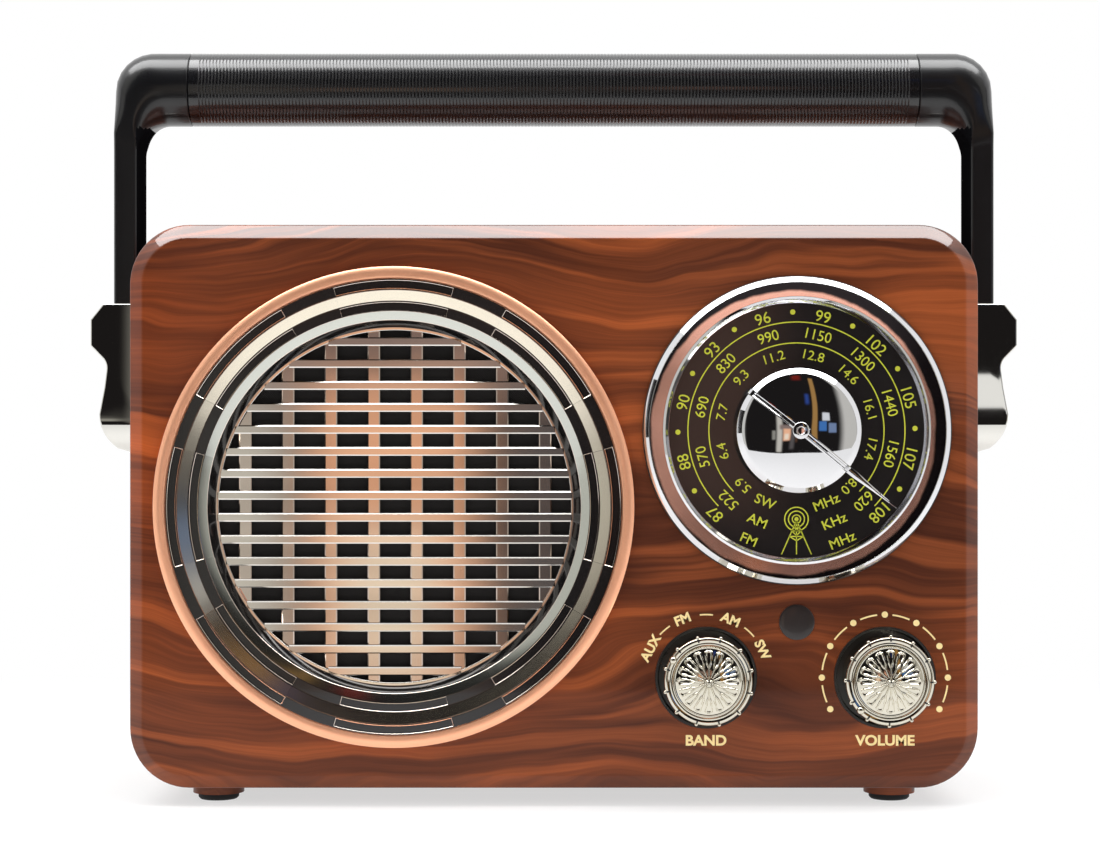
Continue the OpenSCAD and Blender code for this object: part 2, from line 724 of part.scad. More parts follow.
module indicator_lens() color("#2a1512", 0.8) on_front(dial_offset, base_z + lens_up)
  rotate_extrude() polygon([[0, -wall - 1], [lens_r - 0.5, -wall - 1], [lens_r - 0.5, 0],
    [lens_r, 0], [lens_r, 0.4], [lens_r - 0.4, 0.7], [0, 0.7]]);

module indicator_led() color("#b02018") on_front(dial_offset, base_z + lens_up) union() {
  translate([0, 0, -wall - 8.5]) cylinder(h = 5, r = 2.5);
  translate([0, 0, -wall - 3.5]) sphere(r = 2.5);
  translate([0, 0, -wall - 9.5]) cylinder(h = 1, r = 3);
  for (x = [-1.27, 1.27]) translate([x - 0.3, -0.3, board_h])
    cube([0.6, 0.6, -wall - 9 - board_h]);
}

// ---------------------------------------------------------------- electronics

board_x = [post_x[0] - board_edge, post_x[1] + board_edge];
board_z = [base_z + lens_up - 6, post_z[1] + board_edge];

module main_board() color("#1f6b3a") difference() {
  box([board_x[0], board_back_y - board_t, board_z[0]], [board_x[1], board_back_y, board_z[1]]);
  for (x = post_x, z = post_z) translate([x, 0, z])
    along_y(board_back_y - 5, board_back_y + 5, screw_r);
}

module can(x, z, r, h) {
  translate([x, 0, z]) along_y(board_back_y, board_back_y + h, r);
}

module chip(x, z, w, h, t) {
  box([x, board_back_y, z], [x + w, board_back_y + t, z + h]);
}

module board_components() color("#2b2b30") {
  chip(board_x[0] + 30, board_z[0] + 30, 24, 9, 3);
  chip(board_x[0] + 62, board_z[0] + 34, 12, 12, 2);
  for (i = [0:2]) can(board_x[0] + 18 + 16 * i, board_z[0] + 10, 5, 14);
  for (i = [0:2]) chip(board_x[1] - 14, board_z[0] + 34 + 12 * i, 8, 8, 10);
  chip(board_x[1] - 33, board_z[0] + 6, 18, 18, 11);
  for (i = [0:5]) can(board_x[0] + 12 + 9 * i, board_z[0] + 52, 2, 5);
}

module ferrite_rod() color("#33302e") translate([rod_mid_x, rod_y, rod_z])
  along_x(-rod_len / 2, rod_len / 2, rod_r);

module ferrite_coil() color("#c07a3a") translate([rod_mid_x, rod_y, rod_z]) difference() {
  along_x(-14, 14, rod_r + 1.2);
  along_x(-15, 15, rod_r);
}

module ferrite_holders() color("#dcdcd4") for (sx = [-1, 1])
  translate([rod_mid_x + sx * 32, rod_y, rod_z]) difference() {
    box([-3, board_back_y - rod_y, -rod_r - 2], [3, rod_r + 2, rod_r + 2]);
    along_x(-5, 5, rod_r);
  }

// ---------------------------------------------------------------- antenna

function section_r(i) = antenna_r - i * (tube_t + antenna_gap);

// Where section i starts, from the swing pin
function section_root(i) = 12 + 1.5 * i;

module antenna_mount() color("#b0b0b4") translate([antenna_x, 0, antenna_z]) {
  along_y(back_y - notch - wall - 1, back_y - 2, stud_pin_r);
  along_y(back_y - notch - wall - 3, back_y - notch - wall, notch / 2 - wall - slip);
  along_y(back_y - notch, antenna_y - eye_front, stud_pin_r + 1.1);
  difference() {
    along_y(antenna_y + eye_back + slip, back_y - 1, stud_pin_r + 1.3);
    translate([0, back_y - 1, 0]) box([-4, -0.7, -0.4], [4, 1, 0.4]);
  }
}

module antenna_tube() color("#d0d0d4") translate([antenna_x, antenna_y, antenna_z]) {
  difference() {
    union() {
      along_y(slip - eye_front, eye_back, mast_end);
      translate([-8, -2, -2]) cube([8, 4, 4]);
      along_x(-antenna_len, -6, antenna_r);
    }
    along_y(-9, 9, stud_pin_r + run);
    along_x(-antenna_len - 1, slip - section_root(1), section_r(1) + antenna_gap);
  }
}

// Sliding section: a tube whose inside carries the next one
module antenna_section(i, hollow) {
  translate([antenna_x, antenna_y, antenna_z]) difference() {
    along_x(-antenna_len - 2 * i, -section_root(i), section_r(i));
    if (hollow)
      along_x(-antenna_len - 2 * i - 1, slip - section_root(i + 1), section_r(i + 1) + antenna_gap);
  }
}

module antenna_section_1() color("#d0d0d4") antenna_section(1, true);

module antenna_section_2() color("#d0d0d4") antenna_section(2, true);

module antenna_tip() color("#d0d0d4") {
  antenna_section(3, false);
  translate([antenna_x, antenna_y, antenna_z])
    along_x(-antenna_len - 12, -antenna_len - 6, antenna_r);
}

// ---------------------------------------------------------------- battery

module battery_door() color("#7a3a20") translate([tub_x, 0, 0]) difference() {
  half = tub_len / 2 - slip;
  door_top = tub_z0 + tub_h - slip;
  union() {
    box([-half, inner_back_y, door_pivot_z], [half, back_y, door_top]);
    translate([0, door_pivot_y, door_pivot_z]) along_x(-half, half, door_barrel_r);
    translate([0, door_pivot_y, door_pivot_z]) along_x(-half - 2.5, half + 2.5, door_pin_r);
  }
  // finger notch and grip grooves
  translate([0, back_y + 6, door_top - 6]) rotate([0, 90, 0])
    cylinder(h = 26, r = 7.5, center = true);
  for (i = [0:6]) translate([0, 0, door_pivot_z + 5 + 2.6 * i])
    box([-half + 8, back_y - 0.6, 0], [half - 8, back_y + 1, 0.8]);
}

module battery_cells() color("#3d4f78") for (i = [0, 1])
  translate([tub_x - tub_len / 2 + 1.5 + i * cell_len, cell_y, tub_z0 + slip + cell_d / 2])
    union() {
      along_x(0, cell_len - 1.5, cell_d / 2);
      along_x(cell_len - 1.6, cell_len, 4.8);
    }

contact_x0 = tub_x - tub_len / 2;
contact_x1 = tub_x + tub_len / 2;

module battery_contacts() color("#c8c8c0") {
  box([contact_x0, cell_y - 12, tub_z0 + 6], [contact_x0 + 1.5, cell_y + 12, tub_z0 + 28]);
  box([contact_x1 - 0.8, cell_y - 12, tub_z0 + 6], [contact_x1, cell_y + 12, tub_z0 + 28]);
}

// Conical spring between the end plate and the last cell's cap
spring_x0 = contact_x0 + 1.5 + 2 * cell_len;
spring_len = contact_x1 - 0.8 - spring_x0;
wire_r = 0.5;
spring_turns = 4;

function spring_point(t, a) = let (
  angle = 360 * spring_turns * t,
  coil = 4 + 6 * t + wire_r * cos(a),
  along = wire_r + (spring_len - 2 * wire_r) * t + wire_r * sin(a))
  [along, coil * cos(angle), coil * sin(angle)];

module battery_spring() color("#d8d8d0")
  translate([spring_x0, cell_y, tub_z0 + slip + cell_d / 2]) {
    rings = 64;
    sides = 6;
    polyhedron(
      points = [for (i = [0:rings], j = [0:sides - 1]) spring_point(i / rings, 360 * j / sides)],
      faces = concat(
        [for (i = [0:rings - 1], j = [0:sides - 1]) [i * sides + j, i * sides + (j + 1) % sides,
          (i + 1) * sides + (j + 1) % sides, (i + 1) * sides + j]],
        [[for (j = [sides - 1:-1:0]) j], [for (j = [0:sides - 1]) rings * sides + j]]));
  }

// ---------------------------------------------------------------- rear sockets

module media_board() color("#1f6b3a") difference() {
  box([media_x - 30, media_board_y - media_board_t, media_z - 9],
    [media_x + 30, media_board_y, button_z + 8]);
  for (sx = [-1, 1]) translate([media_x + sx * media_post, 0, media_z + 11])
    along_y(media_board_y - 5, media_board_y + 5, screw_r);
}

module usb_socket() color("#bfc0c4") translate([media_x, 0, media_z]) {
  mouth = back_y - 0.6;
  difference() {
    box([-usb_w / 2, media_board_y, -usb_h / 2], [usb_w / 2, mouth, usb_h / 2]);
    box([-usb_w / 2 + 0.3, media_board_y + 1.5, -usb_h / 2 + 0.3],
      [usb_w / 2 - 0.3, mouth + 1, usb_h / 2 - 0.3]);
  }
  box([-5.5, media_board_y + 1, 0.4], [5.5, mouth - 1.2, 2.2]);
}

module aux_jack() color("#2c2c30") translate([jack_x, 0, media_z]) difference() {
  union() {
    box([-5, media_board_y, -5], [5, inner_back_y, 5]);
    along_y(inner_back_y - 1, back_y + 0.8, 3.5);
  }
  along_y(media_board_y + 1, back_y + 2, jack_hole_r);
}

module power_jack() color("#1c1c1e") translate([dc_x, 0, media_z]) {
  difference() {
    union() {
      box([-7, media_board_y, -7], [7, inner_back_y, 7]);
      along_y(inner_back_y - 1, back_y, dc_hole_r + 1.3);
    }
    along_y(media_board_y + 3, back_y + 2, dc_hole_r);
  }
  along_y(media_board_y + 2, back_y - 1.5, 1);
}

module button(i) {
  translate([media_x + i * button_pitch, 0, button_z]) union() {
    rotate([-90, 0, 0]) translate([0, 0, inner_back_y]) rotate_extrude()
      polygon([[0, -1.2], [button_r + 1.2, -1.2], [button_r + 1.2, 0], [button_r, 0],
        [button_r, wall + 1.2], [button_r - 0.4, wall + 1.6], [0, wall + 1.6]]);
    along_y(media_board_y + 3 + button_travel + slip, inner_back_y - 1, 1.6);
  }
}

module button_back() color("#a0a0a4") button(-1);

module button_play() color("#a0a0a4") button(0);

module button_next() color("#a0a0a4") button(1);

// ---------------------------------------------------------------- handle

module handle_grip() color("#151517") translate([0, 0, grip_z]) difference() {
  along_x(-grip_half, grip_half, grip_r);
  along_x(-grip_half - 1, grip_half + 1, grip_r - grip_wall);
}

module handle_core() color("#8a8c90") translate([0, 0, grip_z])
  along_x(-grip_half - spigot_len, grip_half + spigot_len, rod_core_r);

// Front outline of the right arm with its elbow
module arm_outline() {
  low = grip_z - grip_r;
  high = grip_z + grip_r;
  polygon(concat(
    [[grip_half, low]],
    arc(arm_in - inner_elbow_r, low - inner_elbow_r, inner_elbow_r, 90, 0, 8),
    [[arm_in, pivot_z - arm_d], [arm_out, pivot_z - arm_d]],
    arc(arm_out - elbow_r, high - elbow_r, elbow_r, 0, 90, 10),
    [[grip_half, high]]));
}

module handle_arm() difference() {
  union() {
    translate([0, 0, grip_z]) along_x(grip_half - spigot_len, grip_half + 1, grip_r - grip_wall);
    bent_arm();
  }
  translate([0, 0, pivot_z]) along_x(arm_in - 1, arm_out + 1, pin_r + run);
  translate([0, 0, grip_z])
    along_x(grip_half - spigot_len - 1, grip_half + spigot_len, rod_core_r);
}

module bent_arm() {
  intersection() {
    translate([0, arm_d, 0]) rotate([90, 0, 0]) linear_extrude(2 * arm_d) arm_outline();
    union() {
      translate([0, 0, grip_z]) along_x(grip_half, arm_out + 1, grip_r);
      box([arm_in - inner_elbow_r - 4, -arm_d / 2, pivot_z],
        [arm_out + 1, arm_d / 2, grip_z]);
      translate([0, 0, pivot_z]) along_x(arm_in - 1, arm_out + 1, arm_d / 2);
    }
  }
}

module handle_arm_right() color("#151517") handle_arm();

module handle_arm_left() color("#151517") mirror([1, 0, 0]) handle_arm();

// Side bracket with its fixed pivot pin, right side
module side_bracket() {
  outer = side_x + bracket_reach;
  half_d = bracket_d / 2;
  translate([0, 0, pivot_z]) difference() {
    intersection() {
      translate([0, bracket_d, 0]) rotate([90, 0, 0]) linear_extrude(2 * bracket_d)
        polygon(concat([[side_x, bracket_top], [outer - 4, bracket_top],
          [outer, bracket_top - 5], [outer, -4.6]],
          arc(outer - 0.4, -11.6, 4.6, 130, 190, 5),
          [[outer - 4.3, -17.5]],
          arc(outer - 16.7, -26, 14, 0, -50, 6),
          [[side_x, bracket_bottom]]));
      // seen from the side: the front's foot is rounded under
      translate([side_x - 1, 0, 0]) rotate([90, 0, 90]) linear_extrude(bracket_reach + 2)
        polygon(concat([[-half_d, bracket_top + 1]],
          arc(0, bracket_bottom + half_d, half_d, 180, 260, 10),
          [[half_d, bracket_bottom - 1], [half_d, bracket_top + 1]]));
    }
    // slot that the arm swings in, open at the top and at the back
    sweep_r = (arm_d / 2 + slip) * 1.01;
    fall = fold_max - 90;
    translate([arm_in - slip, 0, 0]) rotate([90, 0, 90]) linear_extrude(arm_t + 2 * slip)
      polygon(concat([[-sweep_r, bracket_top + 1]], arc(0, 0, sweep_r, 180, 270 - fall, 12),
        [[bracket_d, -sweep_r / cos(fall) - bracket_d * tan(fall)], [bracket_d, bracket_top + 1]]));
    for (z = bracket_screw_z) translate([0, 0, z - pivot_z])
      along_x(side_x - 1, side_x + 9, screw_r);
  }
  translate([0, 0, pivot_z]) along_x(side_x - wall, outer - 1, pin_r);
}

module side_bracket_right() color("#c8c8cc") side_bracket();

module side_bracket_left() color("#c8c8cc") mirror([1, 0, 0]) side_bracket();

// ---------------------------------------------------------------- nodes

front_cabinet();
rear_cabinet();
rubber_feet();
case_screws();
small_screws();
speaker_trim_ring();
speaker_bezel();
speaker_grille();
grille_cloth();
speaker_basket();
speaker_cone();
speaker_dust_cap();
speaker_spider();
voice_coil();
speaker_magnet();
dial_bezel();
dial_inner_ring();
dial_plate();
dial_backplate();
tuning_knob();
dial_pointer();
tuning_shaft();
tuning_pot();
knob_wells();
band_knob();
band_shaft();
band_switch();
volume_knob();
volume_shaft();
volume_pot();
shaft_nuts();
indicator_lens();
indicator_led();
main_board();
board_components();
ferrite_rod();
ferrite_coil();
ferrite_holders();
antenna_mount();
antenna_tube();
antenna_section_1();
antenna_section_2();
antenna_tip();
battery_door();
battery_cells();
battery_contacts();
battery_spring();
media_board();
usb_socket();
aux_jack();
power_jack();
button_back();
button_play();
button_next();
handle_grip();
handle_arm_left();
handle_arm_right();
handle_core();
side_bracket_left();
side_bracket_right();
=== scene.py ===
"""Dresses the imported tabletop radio: finished pieces, materials, light and camera."""

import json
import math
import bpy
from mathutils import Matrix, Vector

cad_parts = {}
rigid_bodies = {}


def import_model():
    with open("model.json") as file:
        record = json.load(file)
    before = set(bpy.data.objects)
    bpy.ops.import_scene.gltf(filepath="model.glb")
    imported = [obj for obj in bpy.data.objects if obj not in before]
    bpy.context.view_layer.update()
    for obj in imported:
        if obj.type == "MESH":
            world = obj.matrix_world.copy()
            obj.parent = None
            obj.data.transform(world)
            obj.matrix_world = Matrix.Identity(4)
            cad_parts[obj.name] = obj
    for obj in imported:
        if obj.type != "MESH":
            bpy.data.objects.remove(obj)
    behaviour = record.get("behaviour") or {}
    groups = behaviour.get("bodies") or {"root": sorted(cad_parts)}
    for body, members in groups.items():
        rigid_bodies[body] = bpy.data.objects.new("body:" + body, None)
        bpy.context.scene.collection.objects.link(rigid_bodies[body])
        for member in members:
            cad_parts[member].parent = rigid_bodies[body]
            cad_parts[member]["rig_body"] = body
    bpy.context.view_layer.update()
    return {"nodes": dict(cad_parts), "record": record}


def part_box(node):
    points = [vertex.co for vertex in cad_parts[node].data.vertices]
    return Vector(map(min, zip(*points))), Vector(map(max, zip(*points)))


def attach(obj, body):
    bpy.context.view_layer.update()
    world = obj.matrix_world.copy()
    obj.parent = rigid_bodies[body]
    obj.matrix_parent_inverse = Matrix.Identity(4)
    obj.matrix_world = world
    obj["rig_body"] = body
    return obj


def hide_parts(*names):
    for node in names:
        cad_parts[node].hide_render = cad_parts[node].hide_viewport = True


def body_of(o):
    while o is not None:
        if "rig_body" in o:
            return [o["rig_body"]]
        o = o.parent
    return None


bl_info = {
    "name": "Tabletop radio",
    "version": (1, 0, 0),
    "blender": (4, 5, 0),
    "location": "3D View > Sidebar > Radio",
    "description": "Builds the finished pieces of a tabletop radio round its solid frame",
    "category": "Object",
}

import bmesh
import bpy
import numpy as np
from bpy.props import (
    BoolProperty,
    FloatProperty,
    FloatVectorProperty,
    IntProperty,
    PointerProperty,
)
from mathutils import Matrix, Vector

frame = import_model()

MM = 0.001
NODES = frame["nodes"]
SLOT_OF = {s["node"]: s["material_slot"] for s in frame["record"]["subparts"]}


# ---------------------------------------------------------------- places, in millimetres


def box_mm(node):
    """Lowest and highest corner of a CAD node."""
    low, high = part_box(node)
    return low / MM, high / MM


def middle(node):
    """Middle of a CAD node seen from the front, as (x, z)."""
    low, high = box_mm(node)
    return (low.x + high.x) / 2, (low.z + high.z) / 2


SHELL_LOW, SHELL_HIGH = box_mm("front_cabinet")
FRONT_Y, SEAM_Y = SHELL_LOW.y, SHELL_HIGH.y
SIDE_X, TOP_Z = SHELL_HIGH.x, SHELL_HIGH.z
BACK_Y = box_mm("battery_door")[1].y
BASE_Z = 5.0
CORNER = 18.0
SPEAKER = middle("speaker_trim_ring")
DIAL = middle("dial_bezel")
BAND = middle("band_shaft")
VOLUME = middle("volume_shaft")
LENS = middle("indicator_lens")
GRIP_LOW, GRIP_HIGH = box_mm("handle_grip")


def on_front(place, lift=0.0, turn=0.0):
    """Frame on the front face: x right, y up, z proud of it; turn is clockwise from the top."""
    x, z = place
    axes = Matrix(((1, 0, 0, x), (0, 0, -1, FRONT_Y - lift), (0, 1, 0, z), (0, 0, 0, 1)))
    return axes @ Matrix.Rotation(-turn, 4, "Z")


def on_back(x, z, lift=0.0):
    """Frame on the back face: x to the left of the radio's front, y up, z proud of it."""
    return Matrix(((-1, 0, 0, x), (0, 0, 1, BACK_Y + lift), (0, 1, 0, z), (0, 0, 0, 1)))


def upright(x, y, z=0.0):
    """Frame with its z axis up."""
    return Matrix.Translation((x, y, z))


def along_x(x, y, z):
    """Frame with its z axis along +x."""
    return Matrix(((0, 0, 1, x), (1, 0, 0, y), (0, 1, 0, z), (0, 0, 0, 1)))


def metric(place):
    """The same frame for points in metres."""
    made = place.copy()
    made.translation *= MM
    return made


def round_the(centre, radius, angle, lift=0.0):
    """Frame on the face at a radius and a clockwise angle from the top, feet inwards."""
    return on_front(centre, lift, math.radians(angle)) @ upright(0, radius)


def spoke(radius, angle):
    """Point in the face's plane at a radius and a clockwise angle from the top, in degrees."""
    t = math.radians(90 - angle)
    return radius * math.cos(t), radius * math.sin(t)


# ---------------------------------------------------------------- meshes


CREASE = 32.0
WELD = 1e-6
SIDES = 160


def scene_object(name, data):
    """A new object, linked into the scene."""
    made = bpy.data.objects.new(name, data)
    bpy.context.scene.collection.objects.link(made)
    return made


def smooth(mesh, crease=CREASE):
    """Smooths a mesh up to the crease angle, in degrees."""
    mesh.shade_smooth()
    mesh.set_sharp_from_angle(angle=math.radians(crease))
    return mesh


def keep_mesh(mesh, weld=WELD, outward=True, crease=CREASE):
    """Welds a mesh, turns its faces outwards and smooths it."""
    work = bmesh.new()
    work.from_mesh(mesh)
    bmesh.ops.remove_doubles(work, verts=work.verts, dist=weld)
    bmesh.ops.dissolve_degenerate(work, dist=weld * 0.5, edges=work.edges)
    if outward:
        bmesh.ops.recalc_face_normals(work, faces=work.faces)
    work.to_mesh(mesh)
    work.free()
    return smooth(mesh, crease)


def coat_mesh(mesh, *finishes):
    """Gives a mesh its finishes, by name; all its faces take the first."""
    mesh.materials.clear()
    for name in finishes:
        mesh.materials.append(finish(name))
    return mesh


def place_piece(name, mesh, body, replaces=()):
    """Links a mesh whose points are in place as a piece on a body."""
    piece = scene_object(name, mesh)
    flat = piece.modifiers.new("Flat faces stay flat", "WEIGHTED_NORMAL")
    flat.keep_sharp, flat.weight = True, 100
    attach(piece, body)
    if replaces:
        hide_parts(*replaces)


class Shape:
    """Points in millimetres and faces with a finish number, gathered from several parts."""

    def __init__(self):
        self.points, self.faces, self.tones = [], [], []

    def add(self, points, faces, tones=None, place=None):
        start = len(self.points)
        self.points += [place @ Vector(p) if place else Vector(p) for p in points]
        self.faces += [[start + i for i in face] for face in faces]
        self.tones += tones or [0] * len(faces)
        return self

    def mesh(self, name, *finishes, **how):
        mesh = coat_mesh(bpy.data.meshes.new(name), *finishes)
        mesh.from_pydata([p * MM for p in self.points], [], self.faces)
        mesh.polygons.foreach_set("material_index", self.tones)
        return keep_mesh(mesh, **how)

    def piece(self, name, body, slot, replaces, *finishes, **how):
        """Places the shape in its slot's own finish, unless others are named."""
        place_piece(name, self.mesh(name, *(finishes or [slot]), **how), body, replaces)


def rounded(profile, closed=True):
    """Profile whose corners given as (x, y, radius) are rounded."""
    made, count, steps = [], len(profile), 3
    straight, longest = math.radians(88), 0.49
    for i, corner in enumerate(profile):
        radius = corner[2] if len(corner) > 2 else 0.0
        here = Vector(corner[:2])
        if radius <= 0 or (not closed and i in (0, count - 1)):
            made.append(tuple(here))
            continue
        before, after = Vector(profile[i - 1][:2]), Vector(profile[(i + 1) % count][:2])
        a, b = (before - here), (after - here)
        half = a.angle(b) / 2
        if half > straight:
            made.append(tuple(here))
            continue
        reach = min(radius / math.tan(half), longest * a.length, longest * b.length)
        radius = reach * math.tan(half)
        centre = here + (a.normalized() + b.normalized()).normalized() * radius / math.sin(half)
        start, end = here + a.normalized() * reach - centre, here + b.normalized() * reach - centre
        for k in range(steps + 1):
            ray = start.normalized().slerp(end.normalized(), k / steps)
            made.append(tuple(centre + ray.normalized() * radius))
    return made


def arc(cx, cy, radius, start, end, steps):
    """Points of an arc, from and to an angle in degrees."""
    angles = [math.radians(start + (end - start) * k / steps) for k in range(steps + 1)]
    return [(cx + radius * math.cos(a), cy + radius * math.sin(a)) for a in angles]


def lathe(profile, steps, closed=True, tone=None):
    """A profile of (radius, height) turned about the z axis: points, faces and tones."""
    count = len(profile)
    points = [
        (r * math.cos(t), r * math.sin(t), h)
        for t in (2 * math.pi * i / steps for i in range(steps))
        for r, h in profile
    ]
    faces, tones = [], []
    for i in range(steps):
        a, b = i * count, (i + 1) % steps * count
        for k in range(count if closed else count - 1):
            m = (k + 1) % count
            if profile[k][0] < 1e-9 and profile[m][0] < 1e-9:
                continue
            faces.append([a + k, a + m, b + m, b + k])
            where = [(profile[k][0] + profile[m][0]) / 2, (profile[k][1] + profile[m][1]) / 2]
            tones.append(tone(*where) if tone else 0)
    return points, faces, tones


def loft(sections):
    """Loops of as many points each, joined into a closed skin."""
    count, last = len(sections[0]), len(sections) - 1
    points = [p for section in sections for p in section]
    faces = []
    for a in range(0, last * count, count):
        b = a + count
        faces += [[a + k, a + (k + 1) % count, b + (k + 1) % count, b + k] for k in range(count)]
    faces += [list(range(count))[::-1], [last * count + k for k in range(count)]]
    return points, faces


def prism(outline, thick):
    """An outline in the xy plane, raised from it."""
    return loft([[(x, y, z) for x, y in outline] for z in (0, thick)])


def arc_strip(radius, half, start, end, thick, steps):
    """A flat strip along an arc; angles are clockwise from the top, in degrees."""
    sections = []
    for k in range(steps + 1):
        angle = start + (end - start) * k / steps
        near, far = spoke(radius - half, angle), spoke(radius + half, angle)
        sections.append([(*near, 0), (*far, 0), (*far, thick), (*near, thick)])
    return loft(sections)


def dot(x, y, radius, thick, sides=20):
    """A small round dot."""
    return prism(arc(x, y, radius, 0, 360 - 360 / sides, sides - 1), thick)


def bead(radius, angles, steps):
    """A ball that is open below, with a ring of points at each angle from its top."""
    profile = [(radius * math.sin(a), radius * math.cos(a)) for a in angles]
    return lathe([(0, radius)] + profile, steps, closed=False)


def evaluated_mesh(maker):
    """The plain mesh of an object after its modifiers; the object is removed."""
    bpy.context.view_layer.update()
    graph = bpy.context.evaluated_depsgraph_get()
    mesh = bpy.data.meshes.new_from_object(maker.evaluated_get(graph), depsgraph=graph)
    data = maker.data
    bpy.data.objects.remove(maker)
    if data.users == 0:
        (bpy.data.curves if isinstance(data, bpy.types.Curve) else bpy.data.meshes).remove(data)
    return mesh


CAP_OF_SIZE_ONE = 0.729
EXTRUSION = 0.02


def letters(words, cap, bold, thick, wide=1.0):
    """Letters of a given cap height in millimetres, centred on their middle."""
    curve = bpy.data.curves.new("letters", "FONT")
    curve.body, curve.align_x, curve.size = words, "CENTER", 1.0
    curve.offset, curve.resolution_u, curve.extrude = bold, 4, EXTRUSION
    mesh = evaluated_mesh(scene_object("letters", curve))
    points = np.array([v.co for v in mesh.vertices])
    faces = [list(p.vertices) for p in mesh.polygons]
    bpy.data.meshes.remove(mesh)
    middle_x = (points[:, 0].min() + points[:, 0].max()) / 2
    scale = cap / CAP_OF_SIZE_ONE
    points = (points - [middle_x, CAP_OF_SIZE_ONE / 2, -EXTRUSION]) * [
        scale * wide, scale, thick / (2 * EXTRUSION)]
    return [tuple(p) for p in points], faces


def softened(node, name, slot, width, *finishes, pick=None, angle=40, paint=None):
    """A copy of a CAD node with rounded edges, which stands for the node.

    pick(middle) says which sharp edges are rounded and paint(middle) gives a face's finish
    number, both in millimetres. Its slot's own finish serves where no other is named.
    """
    flat_angle, crease = 0.4, 40
    mesh = NODES[node].data.copy()
    mesh.name = name
    work = bmesh.new()
    work.from_mesh(mesh)
    bmesh.ops.remove_doubles(work, verts=work.verts, dist=2 * WELD)
    bmesh.ops.dissolve_limit(work, angle_limit=math.radians(flat_angle), verts=work.verts,
                             edges=work.edges)
    work.to_mesh(mesh)
    work.free()
    mesh.attributes.new("bevel_weight_edge", "FLOAT", "EDGE")
    work = bmesh.new()
    work.from_mesh(mesh)
    layer = work.edges.layers.float["bevel_weight_edge"]
    for edge in work.edges:
        sharp = len(edge.link_faces) == 2 and edge.calc_face_angle(0) > math.radians(angle)
        at = (edge.verts[0].co + edge.verts[1].co) / 2 / MM
        edge[layer] = 1.0 if sharp and (pick is None or pick(at)) else 0.0
    work.to_mesh(mesh)
    work.free()
    maker = scene_object(name + "_maker", mesh)
    edges = maker.modifiers.new("Rounded edges", "BEVEL")
    edges.width, edges.segments, edges.limit_method = width * MM, 2, "WEIGHT"
    edges.use_clamp_overlap = False
    made = coat_mesh(evaluated_mesh(maker), *(finishes or [slot]))
    keep_mesh(made, outward=False, crease=crease)
    if paint:
        made.polygons.foreach_set("material_index", [paint(p.center / MM) for p in made.polygons])
    place_piece(name, made, body_of(NODES[node])[0], [node])


# ---------------------------------------------------------------- node trees


def feed(tree, socket, source):
    """Links a socket to another node's output, or sets its value."""
    if isinstance(source, bpy.types.NodeSocket):
        tree.links.new(source, socket)
    elif source is not None:
        socket.default_value = source


def add(tree, kind, inputs=None, **settings):
    """A node with its settings and its inputs, given by name or number."""
    made = tree.nodes.new(kind)
    for key, value in settings.items():
        setattr(made, key, value)
    for key, source in (inputs or {}).items():
        feed(tree, made.inputs[key], source)
    return made


def maths(tree, operation, *values):
    """Output of one Math node."""
    return add(tree, "ShaderNodeMath", dict(enumerate(values)), operation=operation).outputs[0]


def vectors(tree, operation, first, second=None):
    """Output of one Vector Math node."""
    made = add(tree, "ShaderNodeVectorMath", {0: first}, operation=operation)
    feed(tree, made.inputs["Scale" if operation == "SCALE" else 1], second)
    return made.outputs["Value" if operation == "LENGTH" else "Vector"]


def split(tree, vector):
    """The x, y and z of a vector."""
    return add(tree, "ShaderNodeSeparateXYZ", {0: vector}).outputs


def combined(tree, **axes):
    """A vector from its X, Y and Z."""
    return add(tree, "ShaderNodeCombineXYZ", axes).outputs[0]


def new_tree(name, kind, inputs, outputs):
    """A node group with named sockets; returns it with its input and output nodes."""
    tree = bpy.data.node_groups.new(name, kind)
    for label, socket_type, default in inputs:
        socket = tree.interface.new_socket(label, in_out="INPUT", socket_type=socket_type)
        if default is not None:
            socket.default_value = default
    for label, socket_type in outputs:
        tree.interface.new_socket(label, in_out="OUTPUT", socket_type=socket_type)
    return tree, tree.nodes.new("NodeGroupInput"), tree.nodes.new("NodeGroupOutput")


GEOMETRY = "NodeSocketGeometry"
FLOAT = "NodeSocketFloat"
INTEGER = "NodeSocketInt"
MATERIAL = "NodeSocketMaterial"
COLOUR = "NodeSocketColor"
VECTOR = "NodeSocketVector"


def copy_number(tree):
    """Number of each copy, from 0."""
    return add(tree, "GeometryNodeInputIndex").outputs[0]


def centred(tree, count, pitch):
    """Place of each copy in a row that is centred on the origin."""
    half = maths(tree, "MULTIPLY_ADD", count, -0.5, 0.5)
    return maths(tree, "MULTIPLY", maths(tree, "ADD", copy_number(tree), half), pitch)


def ring_points(tree, given):
    """Copies turned about the z axis."""
    turn = maths(tree, "MULTIPLY_ADD", copy_number(tree), given["Step Angle"],
                 given["First Angle"])
    points = add(tree, "GeometryNodePoints", {"Count": given["Copies"]})
    return points, {"Rotation": combined(tree, Z=turn)}


def row_points(tree, given):
    """Copies side by side along x."""
    place = combined(tree, X=centred(tree, given["Copies"], given["Pitch"]))
    return add(tree, "GeometryNodePoints", {"Count": given["Copies"], "Position": place}), {}


def grid_points(tree, given):
    """Copies on the corners of a grid."""
    return add(tree, "GeometryNodeMeshGrid",
               {"Size X": given["Width"], "Size Y": given["Height"],
                "Vertices X": given["Columns"], "Vertices Y": given["Rows"]}), {}


